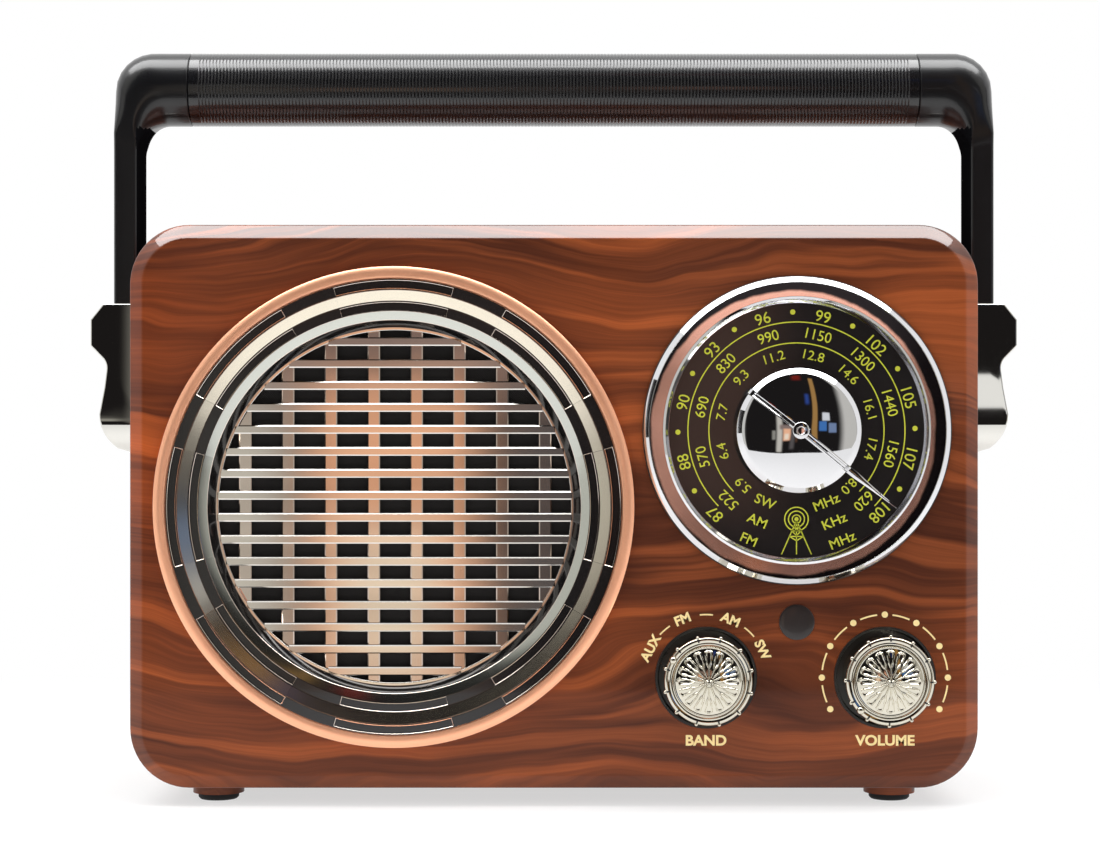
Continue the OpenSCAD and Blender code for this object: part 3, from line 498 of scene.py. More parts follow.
def chord_points(tree, given):
    """Bars across a round opening: a bar one unit long each way, stretched to each chord."""
    place = combined(tree, Y=centred(tree, given["Bars"], given["Pitch"]))
    points = add(tree, "GeometryNodePoints", {"Count": given["Bars"], "Position": place})
    at = split(tree, add(tree, "GeometryNodeInputPosition").outputs[0])[1]
    square = maths(tree, "MULTIPLY", given["Opening Radius"], given["Opening Radius"])
    rest = maths(tree, "SUBTRACT", square, maths(tree, "MULTIPLY", at, at))
    chord = maths(tree, "SQRT", maths(tree, "MAXIMUM", rest, 0.0))
    return points, {"Scale": combined(tree, X=chord, Y=1.0, Z=1.0)}


TREES = {
    "ring": (ring_points, [("Copies", INTEGER, 12), ("First Angle", FLOAT, 0.0),
                           ("Step Angle", FLOAT, 0.5)]),
    "row": (row_points, [("Copies", INTEGER, 12), ("Pitch", FLOAT, 0.01)]),
    "grid": (grid_points, [("Width", FLOAT, 0.1), ("Height", FLOAT, 0.1),
                           ("Columns", INTEGER, 2), ("Rows", INTEGER, 2)]),
    "chords": (chord_points, [("Bars", INTEGER, 16), ("Pitch", FLOAT, 0.006),
                              ("Opening Radius", FLOAT, 0.05)]),
}


def copies_tree(kind):
    """A tree that repeats a shape, joins the copies where they touch and gives the finish."""
    layout, sizes = TREES[kind]
    tree, start, end = new_tree(
        "tree_" + kind, "GeometryNodeTree",
        [("Shape", GEOMETRY, None), *sizes, ("Finish", MATERIAL, None)], [("Geometry", GEOMETRY)])
    given = start.outputs
    points, turned = layout(tree, given)
    made = add(tree, "GeometryNodeInstanceOnPoints",
               {"Points": points.outputs[0], "Instance": given["Shape"], **turned})
    for step, settings in (("RealizeInstances", {}), ("MergeByDistance", {"Distance": WELD}),
                           ("SetMaterial", {"Material": given["Finish"]})):
        made = add(tree, "GeometryNode" + step, {"Geometry": made.outputs[0], **settings})
    tree.links.new(made.outputs[0], end.inputs["Geometry"])
    return tree


def repeated(kind, shape, place, coat, crease=CREASE, **sizes):
    """Mesh of a shape repeated by one of the trees, turned into place."""
    tree = bpy.data.node_groups.get("tree_" + kind) or copies_tree(kind)
    maker = scene_object("maker", shape.mesh("maker"))
    copies = maker.modifiers.new("Copies", "NODES")
    copies.node_group = tree
    values = {key.replace("_", " ").title(): value for key, value in sizes.items()}
    values["Finish"] = finish(coat)
    for item in tree.interface.items_tree:
        if item.in_out == "INPUT" and item.name in values:
            copies[item.identifier] = values[item.name]
    mesh = evaluated_mesh(maker)
    mesh.transform(metric(place))
    return keep_mesh(mesh, crease=crease)


def joined(meshes):
    """Several meshes as one, each with its own finish."""
    made = bpy.data.meshes.new("joined")
    work = bmesh.new()
    for mesh in meshes:
        start = len(work.faces)
        work.from_mesh(mesh)
        work.faces.ensure_lookup_table()
        numbers = []
        for coat in mesh.materials:
            if coat not in list(made.materials):
                made.materials.append(coat)
            numbers.append(list(made.materials).index(coat))
        for face in work.faces[start:]:
            face.material_index = numbers[min(face.material_index, len(numbers) - 1)]
    work.to_mesh(made)
    work.free()
    return smooth(made)


# ---------------------------------------------------------------- materials


def srgb(red, green, blue):
    """Linear colour from display values between 0 and 255."""
    def linear(value):
        value /= 255
        return value / 12.92 if value <= 0.04045 else ((value + 0.055) / 1.055) ** 2.4
    return linear(red), linear(green), linear(blue), 1.0


def mixed(tree, share, first, second):
    """Output of a colour Mix node."""
    return add(tree, "ShaderNodeMix", {0: share, 6: first, 7: second},
               data_type="RGBA").outputs[2]


def ramp(tree, value, low, high, to_low=0.0, to_high=1.0):
    """Output of a smooth, clamped Map Range node."""
    return add(tree, "ShaderNodeMapRange", {0: value, 1: low, 2: high, 3: to_low, 4: to_high},
               interpolation_type="SMOOTHSTEP").outputs[0]


def noise(tree, vector, scale, detail=2.0, roughness=0.5, shift=0.0):
    """Value of a noise texture."""
    return add(tree, "ShaderNodeTexNoise",
               {"Vector": vector, "W": shift, "Scale": scale, "Detail": detail,
                "Roughness": roughness}, noise_dimensions="4D").outputs[0]


def surface_tree():
    """Small changes of tone and gloss that keep a finish from being flat."""
    tree, *ends = new_tree("surface_variation", "ShaderNodeTree",
                           [("Vector", VECTOR, None), ("Colour", COLOUR, None),
                            ("Tone Spread", FLOAT, 0.1), ("Cloud Scale", FLOAT, 60.0),
                            ("Grain Scale", FLOAT, 900.0), ("Roughness", FLOAT, 0.3),
                            ("Roughness Spread", FLOAT, 0.1)],
                           [("Colour", COLOUR), ("Roughness", FLOAT), ("Height", FLOAT)])
    given, made = ends[0].outputs, ends[1].inputs
    cloud = noise(tree, given["Vector"], given["Cloud Scale"], 3.0)
    grain = noise(tree, given["Vector"], given["Grain Scale"], 3.0, shift=3.0)
    both = maths(tree, "ADD", maths(tree, "MULTIPLY", cloud, 0.65),
                 maths(tree, "MULTIPLY", grain, 0.35))
    spread = maths(tree, "MULTIPLY_ADD", maths(tree, "SUBTRACT", both, 0.5),
                   maths(tree, "MULTIPLY", given["Tone Spread"], 4.0), 1.0)
    tone = vectors(tree, "SCALE", given["Colour"], spread)
    gloss = maths(tree, "MULTIPLY_ADD", maths(tree, "SUBTRACT", cloud, 0.5),
                  maths(tree, "MULTIPLY", given["Roughness Spread"], 2.0), given["Roughness"])
    feed(tree, made["Colour"], tone)
    feed(tree, made["Roughness"], maths(tree, "MAXIMUM", gloss, 0.02))
    feed(tree, made["Height"], grain)
    return tree


def turned_tree():
    """Fine lines of a turned or spun part, round an axis through the face."""
    tree, *ends = new_tree("turned_lines", "ShaderNodeTree",
                           [("Vector", VECTOR, None), ("Centre", VECTOR, None),
                            ("Lines", FLOAT, 2500.0)], [("Height", FLOAT), ("Distance", FLOAT)])
    given, made = ends[0].outputs, ends[1].inputs
    flat = vectors(tree, "MULTIPLY", vectors(tree, "SUBTRACT", given["Vector"], given["Centre"]),
                   (1.0, 0.0, 1.0))
    distance = vectors(tree, "LENGTH", flat)
    lines = noise(tree, combined(tree, X=distance), given["Lines"], 2.0)
    dust = noise(tree, given["Vector"], 2600.0, 2.0, shift=5.0)
    feed(tree, made["Height"], maths(tree, "ADD", maths(tree, "MULTIPLY", lines, 0.5),
                                     maths(tree, "MULTIPLY", dust, 0.5)))
    feed(tree, made["Distance"], distance)
    return tree


def wood_tree():
    """Figured wood: waves that run along the cabinet, dark veins and fine fibre."""
    tree, *ends = new_tree("wood_figure", "ShaderNodeTree",
                           [("Vector", VECTOR, None), ("Normal", VECTOR, None),
                            ("Dark", COLOUR, None), ("Middle", COLOUR, None),
                            ("Light", COLOUR, None), ("Wave Height", FLOAT, 62.0),
                            ("Band Width", FLOAT, 10.0), ("Vein Strength", FLOAT, 0.75),
                            ("Pattern", FLOAT, 3.0)],
                           [("Colour", COLOUR), ("Roughness", FLOAT), ("Height", FLOAT)])
    given, made = ends[0].outputs, ends[1].inputs
    at = split(tree, vectors(tree, "SCALE", given["Vector"], 1 / MM))
    facing = split(tree, vectors(tree, "ABSOLUTE", given["Normal"]))
    depth = maths(tree, "SUBTRACT", at[1], FRONT_Y)
    along = maths(tree, "MULTIPLY_ADD", depth, facing[0], at[0])
    across = maths(tree, "MULTIPLY_ADD", depth, facing[2], at[2])
    pattern = given["Pattern"]

    def field(x_size, z, z_size, detail, shift, rough=0.5):
        """Noise that stretches over x_size by z_size millimetres."""
        spot = combined(tree, X=maths(tree, "DIVIDE", along, x_size),
                        Y=maths(tree, "DIVIDE", z, z_size))
        return noise(tree, spot, 1.0, detail, rough, maths(tree, "ADD", pattern, shift))

    slow = field(150.0, across, 80.0, 1.0, 0.0)
    quick = field(46.0, across, 30.0, 2.0, 11.0)
    bent = maths(tree, "MULTIPLY_ADD", maths(tree, "SUBTRACT", slow, 0.5),
                 given["Wave Height"], across)
    bent = maths(tree, "MULTIPLY_ADD", maths(tree, "SUBTRACT", quick, 0.5), 13.0, bent)
    bands = field(240.0, bent, given["Band Width"], 3.0, 23.0)
    broad = field(150.0, bent, maths(tree, "MULTIPLY", given["Band Width"], 3.2), 2.0, 31.0)
    streaks = field(110.0, bent, 1.6, 3.0, 37.0, 0.6)
    fibre = field(26.0, bent, 0.33, 2.0, 41.0)
    edge = maths(tree, "ABSOLUTE", maths(tree, "SUBTRACT", bands, 0.5))
    vein = ramp(tree, edge, 0.075, 0.0)
    vein = maths(tree, "MULTIPLY", vein, ramp(tree, broad, 0.30, 0.62))
    ground = mixed(tree, ramp(tree, broad, 0.34, 0.66), given["Light"], given["Middle"])
    band = ramp(tree, bands, 0.42, 0.66)
    ground = mixed(tree, maths(tree, "MULTIPLY", band, 0.78), ground, given["Dark"])
    ground = mixed(tree, maths(tree, "MULTIPLY", vein, given["Vein Strength"]), ground,
                   given["Dark"])
    shade = maths(tree, "MULTIPLY_ADD", streaks, 1.15, 0.45)
    shade = maths(tree, "MULTIPLY", shade, maths(tree, "MULTIPLY_ADD", fibre, 0.5, 0.75))
    feed(tree, made["Colour"], vectors(tree, "SCALE", ground, shade))
    feed(tree, made["Roughness"], maths(tree, "MULTIPLY_ADD", streaks, 0.2, 0.3))
    feed(tree, made["Height"], fibre)
    return tree


GROUPS = {"surface_variation": surface_tree, "turned_lines": turned_tree,
          "wood_figure": wood_tree}


def effect(tree, name, **inputs):
    """Places one of the shared effects in a material."""
    if name not in bpy.data.node_groups:
        GROUPS[name]()
    made = tree.nodes.new("ShaderNodeGroup")
    made.node_tree = bpy.data.node_groups[name]
    for label, source in inputs.items():
        feed(tree, made.inputs[label.replace("_", " ")], source)
    return made.outputs


def new_material(name):
    """A material with its Principled shader and object coordinates."""
    material = bpy.data.materials.new(name)
    material.use_nodes = True
    tree = material.node_tree
    here = tree.nodes.new("ShaderNodeTexCoord").outputs["Object"]
    return material, tree, tree.nodes["Principled BSDF"], here


def show(tree, source):
    """Makes a shader's output the one that shows."""
    tree.links.new(source, tree.nodes["Material Output"].inputs[0])


def settle(shader, **values):
    """Sets constants on a shader's own sockets."""
    for label, value in values.items():
        shader.inputs[label.replace("_", " ")].default_value = value


def bumped(tree, shader, height, distance, strength=0.5):
    """Adds relief in millimetres to a shader."""
    bump = add(tree, "ShaderNodeBump", {"Height": height, "Distance": distance * MM,
                                        "Strength": strength})
    tree.links.new(bump.outputs[0], shader.inputs["Normal"])


def varied(tree, shader, here, colour, roughness, spread, tone, cloud, grain):
    """Gives a shader a colour and a gloss that vary a little; returns the grain's height."""
    out = effect(tree, "surface_variation", Vector=here, Colour=colour, Tone_Spread=tone,
                 Cloud_Scale=cloud, Grain_Scale=grain, Roughness=roughness,
                 Roughness_Spread=spread)
    feed(tree, shader.inputs["Base Color"], out["Colour"])
    feed(tree, shader.inputs["Roughness"], out["Roughness"])
    return out["Height"]


def plain(tree, shader, here, colour, metallic, roughness, spread, tone, cloud, grain, relief,
          coat=0.0, coat_roughness=0.05, level=0.5):
    """A finish whose tone, gloss and fine relief vary a little over the surface."""
    height = varied(tree, shader, here, colour, roughness, spread, tone, cloud, grain)
    settle(shader, Metallic=metallic, Specular_IOR_Level=level, Coat_Weight=coat,
           Coat_Roughness=coat_roughness)
    if relief:
        bumped(tree, shader, height, relief)


# name: colour, metallic, roughness, gloss spread, tone spread, cloud scale, grain scale, relief
# in mm and, where they aren't the usual ones, coat, coat roughness and specular level
FINISHES = {
    "bright_chrome": ((226, 226, 228), 1.0, 0.035, 0.02, 0.02, 60, 1500, 0.0),
    "bracket_chrome": ((224, 222, 216), 1.0, 0.015, 0.01, 0.02, 60, 1500, 0.0),
    "row_gloss": ((34, 32, 32), 0.55, 0.10, 0.05, 0.10, 60, 1500, 0.0, 0.6),
    "knob_chrome": ((214, 209, 194), 1.0, 0.06, 0.03, 0.04, 60, 1500, 0.0),
    "pale_edge": ((238, 226, 216), 1.0, 0.12, 0.05, 0.04, 60, 1500, 0.0),
    "step_chrome": ((206, 208, 200), 1.0, 0.15, 0.04, 0.05, 60, 1500, 0.001),
    "slope_chrome": ((246, 236, 216), 1.0, 0.19, 0.04, 0.05, 60, 1500, 0.001),
    "foot_rubber": ((30, 30, 31), 0.0, 0.75, 0.10, 0.12, 90, 2500, 0.02),
    "screw_steel": ((150, 150, 152), 1.0, 0.34, 0.12, 0.12, 300, 4000, 0.005),
    "pressed_steel": ((150, 152, 155), 1.0, 0.38, 0.12, 0.10, 60, 1500, 0.01),
    "cone_paper": ((40, 36, 33), 0.0, 0.85, 0.08, 0.20, 150, 3000, 0.05),
    "spider_cloth": ((190, 150, 90), 0.0, 0.85, 0.08, 0.20, 150, 2000, 0.08),
    "copper_wire": ((200, 118, 70), 1.0, 0.32, 0.10, 0.12, 200, 3000, 0.02),
    "magnet_steel": ((96, 97, 100), 0.8, 0.45, 0.12, 0.12, 80, 1200, 0.02),
    "plate_aluminium": ((198, 200, 204), 1.0, 0.36, 0.10, 0.06, 60, 1800, 0.005),
    "shaft_brass": ((214, 188, 122), 1.0, 0.28, 0.10, 0.08, 120, 3000, 0.005),
    "control_case": ((128, 110, 78), 0.0, 0.55, 0.10, 0.15, 120, 2000, 0.02),
    "well_black": ((22, 21, 21), 0.0, 0.30, 0.10, 0.12, 120, 2000, 0.01, 0.2),
    "led_plastic": ((170, 30, 26), 0.0, 0.25, 0.06, 0.08, 200, 2000, 0.005, 0.5),
    "circuit_board": ((28, 96, 54), 0.0, 0.40, 0.12, 0.20, 240, 2600, 0.02, 0.3),
    "component_black": ((44, 44, 48), 0.0, 0.50, 0.12, 0.18, 120, 2000, 0.02),
    "ferrite": ((62, 58, 55), 0.2, 0.60, 0.10, 0.15, 120, 2500, 0.03),
    "holder_white": ((224, 222, 212), 0.0, 0.50, 0.08, 0.05, 90, 2000, 0.01),
    "antenna_chrome": ((214, 214, 218), 1.0, 0.10, 0.05, 0.04, 90, 2500, 0.001),
    "cell_jacket": ((72, 88, 122), 0.3, 0.40, 0.10, 0.10, 60, 1500, 0.005, 0.4),
    "contact_nickel": ((204, 202, 194), 1.0, 0.25, 0.10, 0.08, 150, 2500, 0.005),
    "socket_black": ((30, 30, 32), 0.0, 0.42, 0.10, 0.12, 150, 2500, 0.01),
    "button_grey": ((150, 151, 155), 0.0, 0.38, 0.10, 0.06, 150, 3000, 0.01, 0.3),
    "core_steel": ((150, 152, 155), 1.0, 0.35, 0.12, 0.10, 60, 1500, 0.01),
    "back_black": ((34, 32, 31), 0.0, 0.55, 0.12, 0.18, 500, 2600, 0.05),
    "handle_black": ((13, 13, 16), 0.0, 0.24, 0.06, 0.12, 60, 1800, 0.003, 0.75, 0.08),
    "arm_black": ((13, 13, 16), 0.0, 0.3, 0.06, 0.12, 60, 1800, 0.003, 0.4, 0.1),
    "handle_inner": ((14, 14, 16), 0.0, 0.6, 0.08, 0.1, 60, 1800, 0.003, 0.0, 0.05, 0.0),
    "smoked_lens": ((33, 26, 25), 0.0, 0.3, 0.04, 0.10, 120, 2000, 0.0, 0.25, 0.06),
}


def wood_film(tree, shader, here):
    """Wood-grain film, glossiest where it faces up, with painted warm light towards its left end.
    """
    look = bpy.context.scene.radio_cabinet
    facing = tree.nodes.new("ShaderNodeTexCoord").outputs["Normal"]
    wood = effect(tree, "wood_figure", Vector=here, Normal=facing, Dark=(*look.wood_dark, 1),
                  Middle=(*look.wood_middle, 1), Light=(*look.wood_light, 1),
                  Wave_Height=look.wave_height, Band_Width=look.band_width,
                  Pattern=look.pattern)
    x, y, z = split(tree, here)
    # Painted warm light: the film is warmer and brighter towards its left end, and hardly so low
    # down.
    painted_warm_light = maths(tree, "MULTIPLY", ramp(tree, x, -0.06, -0.128, 0.0, 0.6),
                 ramp(tree, z, 0.03, 0.08, 0.1, 1.0))
    warm = mixed(tree, painted_warm_light, wood["Colour"],
                 vectors(tree, "MULTIPLY", wood["Colour"], (1.5, 1.2, 0.75)))
    feed(tree, shader.inputs["Base Color"], warm)
    feed(tree, shader.inputs["Roughness"], wood["Roughness"])
    behind = ramp(tree, y, (FRONT_Y + 0.2) * MM, (FRONT_Y + 1.0) * MM, 0.12, 0.2)
    upward = ramp(tree, split(tree, facing)[2], 0.1, 0.7)
    feed(tree, shader.inputs["Coat Weight"], maths(tree, "MULTIPLY_ADD", upward, 0.62, behind))
    settle(shader, Coat_Roughness=0.045, Coat_IOR=1.7, Specular_IOR_Level=0.12)
    bumped(tree, shader, wood["Height"], 0.009, 0.6)


def turned_about(tree, here, centre, lines):
    """Fine lines turned about a centre on the front face."""
    return effect(tree, "turned_lines", Vector=here, Lines=lines,
                  Centre=(centre[0] * MM, 0.0, centre[1] * MM))


def copper(tree, shader, here):
    """Satin copper plating with fine turned lines."""
    lines = turned_about(tree, here, SPEAKER, 2200.0)
    colour = (*bpy.context.scene.radio_speaker.copper, 1)
    varied(tree, shader, here, colour, 0.36, 0.08, 0.08, 40.0, 1900.0)
    settle(shader, Metallic=0.7)
    bumped(tree, shader, lines["Height"], 0.02, 0.6)


def grille_plating(tree, shader, here):
    """Chrome plating with painted shade: the bars behind are a little duller, darker and browner.
    """
    look = bpy.context.scene.radio_speaker
    x, y, z = split(tree, here)
    # Painted shade: the upright bars, which lie deeper, take the darker and browner chrome.
    deep = ramp(tree, y, (FRONT_Y + 5.3) * MM, (FRONT_Y + 5.7) * MM)
    plating = mixed(tree, deep, (*look.chrome, 1), (*look.shaded_chrome_behind, 1))
    row = combined(tree, X=maths(tree, "MULTIPLY", x, 14.0), Y=maths(tree, "MULTIPLY", z, 90.0))
    shade = maths(tree, "MULTIPLY_ADD", noise(tree, row, 1.0, 1.0), 0.7, 0.66)
    metal = vectors(tree, "SCALE", plating, shade)
    varied(tree, shader, here, metal, 0.07, 0.03, 0.03, 60.0, 1500.0)
    settle(shader, Metallic=1.0)


def grille_cloth(tree, shader, here):
    """Black woven cloth behind the grille."""
    threads = 9000.0
    x, _, z = split(tree, here)
    waves = [maths(tree, "SINE", maths(tree, "MULTIPLY", axis, threads)) for axis in (x, z)]
    weave = maths(tree, "MULTIPLY", waves[0], waves[1])
    feed(tree, shader.inputs["Base Color"],
         mixed(tree, ramp(tree, weave, -0.6, 0.8), srgb(14, 13, 13), srgb(38, 34, 33)))
    settle(shader, Roughness=0.9)
    bumped(tree, shader, weave, 0.1, 0.8)


def dial_gloss(tree, shader, here):
    """Gloss black face of the dial."""
    varied(tree, shader, here, srgb(26, 23, 23), 0.3, 0.06, 0.12, 25.0, 1500.0)
    settle(shader, Specular_IOR_Level=0.15, Coat_Weight=0.8, Coat_Roughness=0.05)


def rose_gold(tree, shader, here):
    """Polished rose gold with a painted dark reflection over the outer edge of the dial's ring."""
    lines = turned_about(tree, here, DIAL, 1500.0)
    x, _, z = split(tree, here)
    # Radius in metres where the painted dark reflection begins; it grows to the left and
    # downwards.
    painted_reflection_radius = maths(tree, "MULTIPLY_ADD", maths(tree, "SUBTRACT", x, DIAL[0] * MM), -0.028, 0.0424)
    painted_reflection_radius = maths(tree, "MULTIPLY_ADD", maths(tree, "SUBTRACT", z, DIAL[1] * MM), -0.016, painted_reflection_radius)
    blot = noise(tree, here, 130.0, 3.0)
    start = maths(tree, "MULTIPLY_ADD", blot, 0.0016, maths(tree, "SUBTRACT", painted_reflection_radius, 0.0008))
    # Past that radius the gold gives way to the painted dark reflection.
    dark = ramp(tree, maths(tree, "SUBTRACT", lines["Distance"], start), -0.0004, 0.0006)
    colour = mixed(tree, dark, srgb(244, 180, 158), srgb(40, 34, 36))
    varied(tree, shader, here, colour, 0.2, 0.08, 0.06, 120.0, 1800.0)
    settle(shader, Metallic=0.85)
    bumped(tree, shader, lines["Height"], 0.006, 0.5)


def ink(settings):
    """Screen print in the ink of a group of settings: slightly uneven."""
    def paint(tree, shader, here):
        colour = (*getattr(bpy.context.scene, settings).ink, 1)
        plain(tree, shader, here, colour, 0.0, 0.5, 0.10, 0.10, 400, 5000, 0.004)
    return paint


SPECIAL = {"wood_finish": wood_film, "copper_trim": copper, "grille_chrome": grille_plating,
           "grille_fabric": grille_cloth, "dial_black": dial_gloss, "rose_gold": rose_gold,
           "scale_ink": ink("radio_dial"), "panel_ink": ink("radio_knobs")}


def finish(name):
    """The finish of that name, made when it is first asked for."""
    kept = bpy.data.materials.get("radio_" + name)
    if kept:
        return kept
    material, *parts = new_material("radio_" + name)
    if name in SPECIAL:
        SPECIAL[name](*parts)
    else:
        colour, *values = FINISHES[name]
        plain(*parts, srgb(*colour), *values)
    return material


# ---------------------------------------------------------------- sizes and colours


class RadioCabinetSettings(bpy.types.PropertyGroup):
    wood_dark: FloatVectorProperty(
        name="Dark wood", description="Colour of the veins", subtype="COLOR", size=3,
        default=srgb(52, 22, 12)[:3], min=0, max=1)
    wood_middle: FloatVectorProperty(
        name="Middle wood", description="Colour of most of the figure", subtype="COLOR", size=3,
        default=srgb(114, 57, 28)[:3], min=0, max=1)
    wood_light: FloatVectorProperty(
        name="Light wood", description="Colour of the broad light bands", subtype="COLOR",
        size=3, default=srgb(146, 72, 33)[:3], min=0, max=1)
    wave_height: FloatProperty(
        name="Wave height", description="How far the grain bends, in millimetres", default=62.0,
        min=0, max=120)
    band_width: FloatProperty(
        name="Band width", description="Width of one band of the figure, in millimetres",
        default=10.0, min=2, max=40)
    pattern: FloatProperty(
        name="Pattern", description="Picks another figure of the same wood", default=3.0)
    edge: FloatProperty(
        name="Edge radius", description="Rounding of the cabinet's edges, in millimetres",
        default=0.5, min=0.1, max=1.5)


class RadioSpeakerSettings(bpy.types.PropertyGroup):
    copper: FloatVectorProperty(
        name="Copper", description="Colour of the trim ring", subtype="COLOR", size=3,
        default=srgb(255, 186, 148)[:3], min=0, max=1)
    chrome: FloatVectorProperty(
        name="Chrome", description="Colour of the grille's bars", subtype="COLOR", size=3,
        default=srgb(228, 224, 218)[:3], min=0, max=1)
    # Painted shade: the darker, browner chrome of the recessed upright bars.
    shaded_chrome_behind: FloatVectorProperty(
        name="Chrome behind", description="Colour of the upright bars behind", subtype="COLOR",
        size=3, default=srgb(196, 178, 166)[:3], min=0, max=1)
    bars_across: IntProperty(
        name="Bars across", description="Number of bars in front", default=16, min=4, max=20)
    bars_up: IntProperty(
        name="Upright bars", description="Number of bars behind", default=8, min=3, max=12)
    slots: IntProperty(
        name="Slots", description="Slots in each row of the bezel", default=8, min=3, max=16)


class RadioDialSettings(bpy.types.PropertyGroup):
    ink: FloatVectorProperty(
        name="Scale ink", description="Colour of the printed scales", subtype="COLOR", size=3,
        default=srgb(184, 187, 40)[:3], min=0, max=1)
    number_size: FloatProperty(
        name="Number height", description="Height of the scale's numbers, in millimetres",
        default=3.55, min=1, max=5)
    pointer_angle: FloatProperty(
        name="Pointer angle", description="Where the needle points, clockwise from the top",
        default=math.radians(128.5), subtype="ANGLE")


class RadioKnobSettings(bpy.types.PropertyGroup):
    ink: FloatVectorProperty(
        name="Panel ink", description="Colour of the words and marks on the panel",
        subtype="COLOR", size=3, default=srgb(238, 214, 150)[:3], min=0, max=1)
    studs: IntProperty(
        name="Studs", description="Studs round each knob's rim", default=12, min=4, max=24)
    spokes: IntProperty(
        name="Spokes", description="Ribs of the ornament on each knob", default=16, min=8, max=32)
    band_angle: FloatProperty(
        name="Band position", description="Where the band knob's stud points",
        default=math.radians(-59), subtype="ANGLE")
    volume_angle: FloatProperty(
        name="Volume position", description="Where the volume knob's stud points",
        default=math.radians(-134), subtype="ANGLE")


class RadioHandleSettings(bpy.types.PropertyGroup):
    rib_pitch: FloatProperty(
        name="Rib pitch", description="Distance between the grip's ribs, in millimetres",
        default=1.05, min=0.5, max=4)
    rib_height: FloatProperty(
        name="Rib height", description="Height of the grip's ribs, in millimetres",
        default=0.15, min=0.05, max=0.6)
    collar: FloatProperty(
        name="Collar", description="Plain length at each end of the grip, in millimetres",
        default=3.5, min=1, max=12)


class RadioStageSettings(bpy.types.PropertyGroup):
    key_power: FloatProperty(
        name="Key light", description="Power of the soft light overhead", default=34.0, min=0,
        subtype="POWER")
    room_level: FloatProperty(
        name="Room level", description="Light that comes from all round", default=0.62, min=0)
    lens: FloatProperty(
        name="Lens", description="Focal length of the camera, in millimetres", default=76.4,
        min=20, max=200)
    show_floor: BoolProperty(
        name="Floor", description="Adds the pale floor", default=True)


# ---------------------------------------------------------------- cabinet


def depth_in_cabinet(at):
    """Distance of a point from the cabinet's outline seen from the front; negative inside."""
    across = abs(at.x) - (SIDE_X - CORNER)
    up = abs(at.z - (TOP_Z + BASE_Z) / 2) - ((TOP_Z - BASE_Z) / 2 - CORNER)
    return math.hypot(max(across, 0), max(up, 0)) + min(max(across, up), 0) - CORNER


def outer_edge(at):
    """Edges of the cabinet that show and are rounded."""
    front_rim, rim_width, near = 6, 5.5, 0.2
    depth = depth_in_cabinet(at)
    if at.y < FRONT_Y + front_rim:
        return depth > -rim_width
    return depth > -near and (abs(at.y - SEAM_Y) < near / 2 or at.y > BACK_Y - 1)


def shell_finish(at):
    """Number of a shell face's finish: film outside, black plastic behind and inside."""
    face_depth, bevel, skin = 0.3, 4.8, 1.6
    if at.y < FRONT_Y + face_depth:
        return 0
    return 0 if depth_in_cabinet(at) > -skin - max(0.0, bevel - (at.y - FRONT_Y)) else 1


class RADIO_OT_cabinet(bpy.types.Operator):
    """Front and rear cabinet shells with rounded edges and a wood-grain film"""

    bl_idname = "radio.cabinet"
    bl_label = "Cabinet shells"

    def execute(self, context):
        for node, name in (("front_cabinet", "cabinet_front"), ("rear_cabinet", "cabinet_rear")):
            softened(node, name, "wood_finish", context.scene.radio_cabinet.edge, "wood_finish",
                     "back_black", pick=outer_edge, angle=28, paint=shell_finish)
        return {"FINISHED"}


class RADIO_OT_feet(bpy.types.Operator):
    """Rubber feet with a rounded rim and fine grip rings underneath"""

    bl_idname = "radio.feet"
    bl_label = "Rubber feet"

    def execute(self, context):
        low, high = box_mm("rubber_feet")
        radius, height = 6.2, high.z - low.z
        sole = [(0, 0.25), (1.4, 0.25), (1.6, 0), (2.6, 0), (2.8, 0.25), (3.4, 0.25), (3.6, 0),
                (4.6, 0), (4.8, 0.25), (5.1, 0.25)]
        side = rounded([(5.2, 0.0), (radius - 0.6, 0, 0.1), (radius, 0.6, 0.5),
                        (radius, height)], closed=False)
        foot = Shape().add(*lathe(sole + side + [(0, height)], 48, closed=False))
        width, depth = high.x - low.x - 2 * radius, high.y - low.y - 2 * radius
        mesh = repeated("grid", foot, upright(0, (low.y + high.y) / 2), "foot_rubber",
                        width=width * MM, height=depth * MM, columns=2, rows=2)
        place_piece("feet", mesh, "cabinet", ["rubber_feet"])
        return {"FINISHED"}


def relief_disc(radii, steps, height, foot=None):
    """Round plate whose height is a function of radius and angle, closed down to its foot."""
    angles = [2 * math.pi * i / steps for i in range(steps)]
    rings = [(r, height) for r in radii]
    if foot is not None:
        rings.append((radii[-1], lambda r, t: foot))
    points = [(0.0, 0.0, height(0.0, 0.0))]
    points += [(r * math.cos(t), r * math.sin(t), rise(r, t)) for r, rise in rings for t in angles]
    faces = [[0, 1 + i, 1 + (i + 1) % steps] for i in range(steps)]
    for a in range(1, 1 + (len(rings) - 1) * steps, steps):
        b = a + steps
        faces += [[a + i, b + i, b + (i + 1) % steps, a + (i + 1) % steps] for i in range(steps)]
    if foot is not None:
        faces.append([len(points) - 1 - i for i in range(steps)])
    return points, faces


def screw_head(radius, height, cross):
    """Pan head with a cross recess, standing on z = 0."""
    def top(r, t):
        x, y = abs(r * math.cos(t)), abs(r * math.sin(t))
        arm = min(x, y) < cross * 0.19 and max(x, y) < cross
        dome = height * (1 - 0.35 * (r / radius) ** 2.4)
        return dome - (height * 0.55 * (1 - 0.35 * max(x, y) / cross) if arm else 0)
    radii = [cross * s for s in (0.1, 0.19, 0.24, 0.5, 0.8, 0.98, 1.04)]
    radii += [radius * s for s in (0.75, 0.9, 0.97, 1.0)]
    return relief_disc(radii, 48, top, foot=0.0)


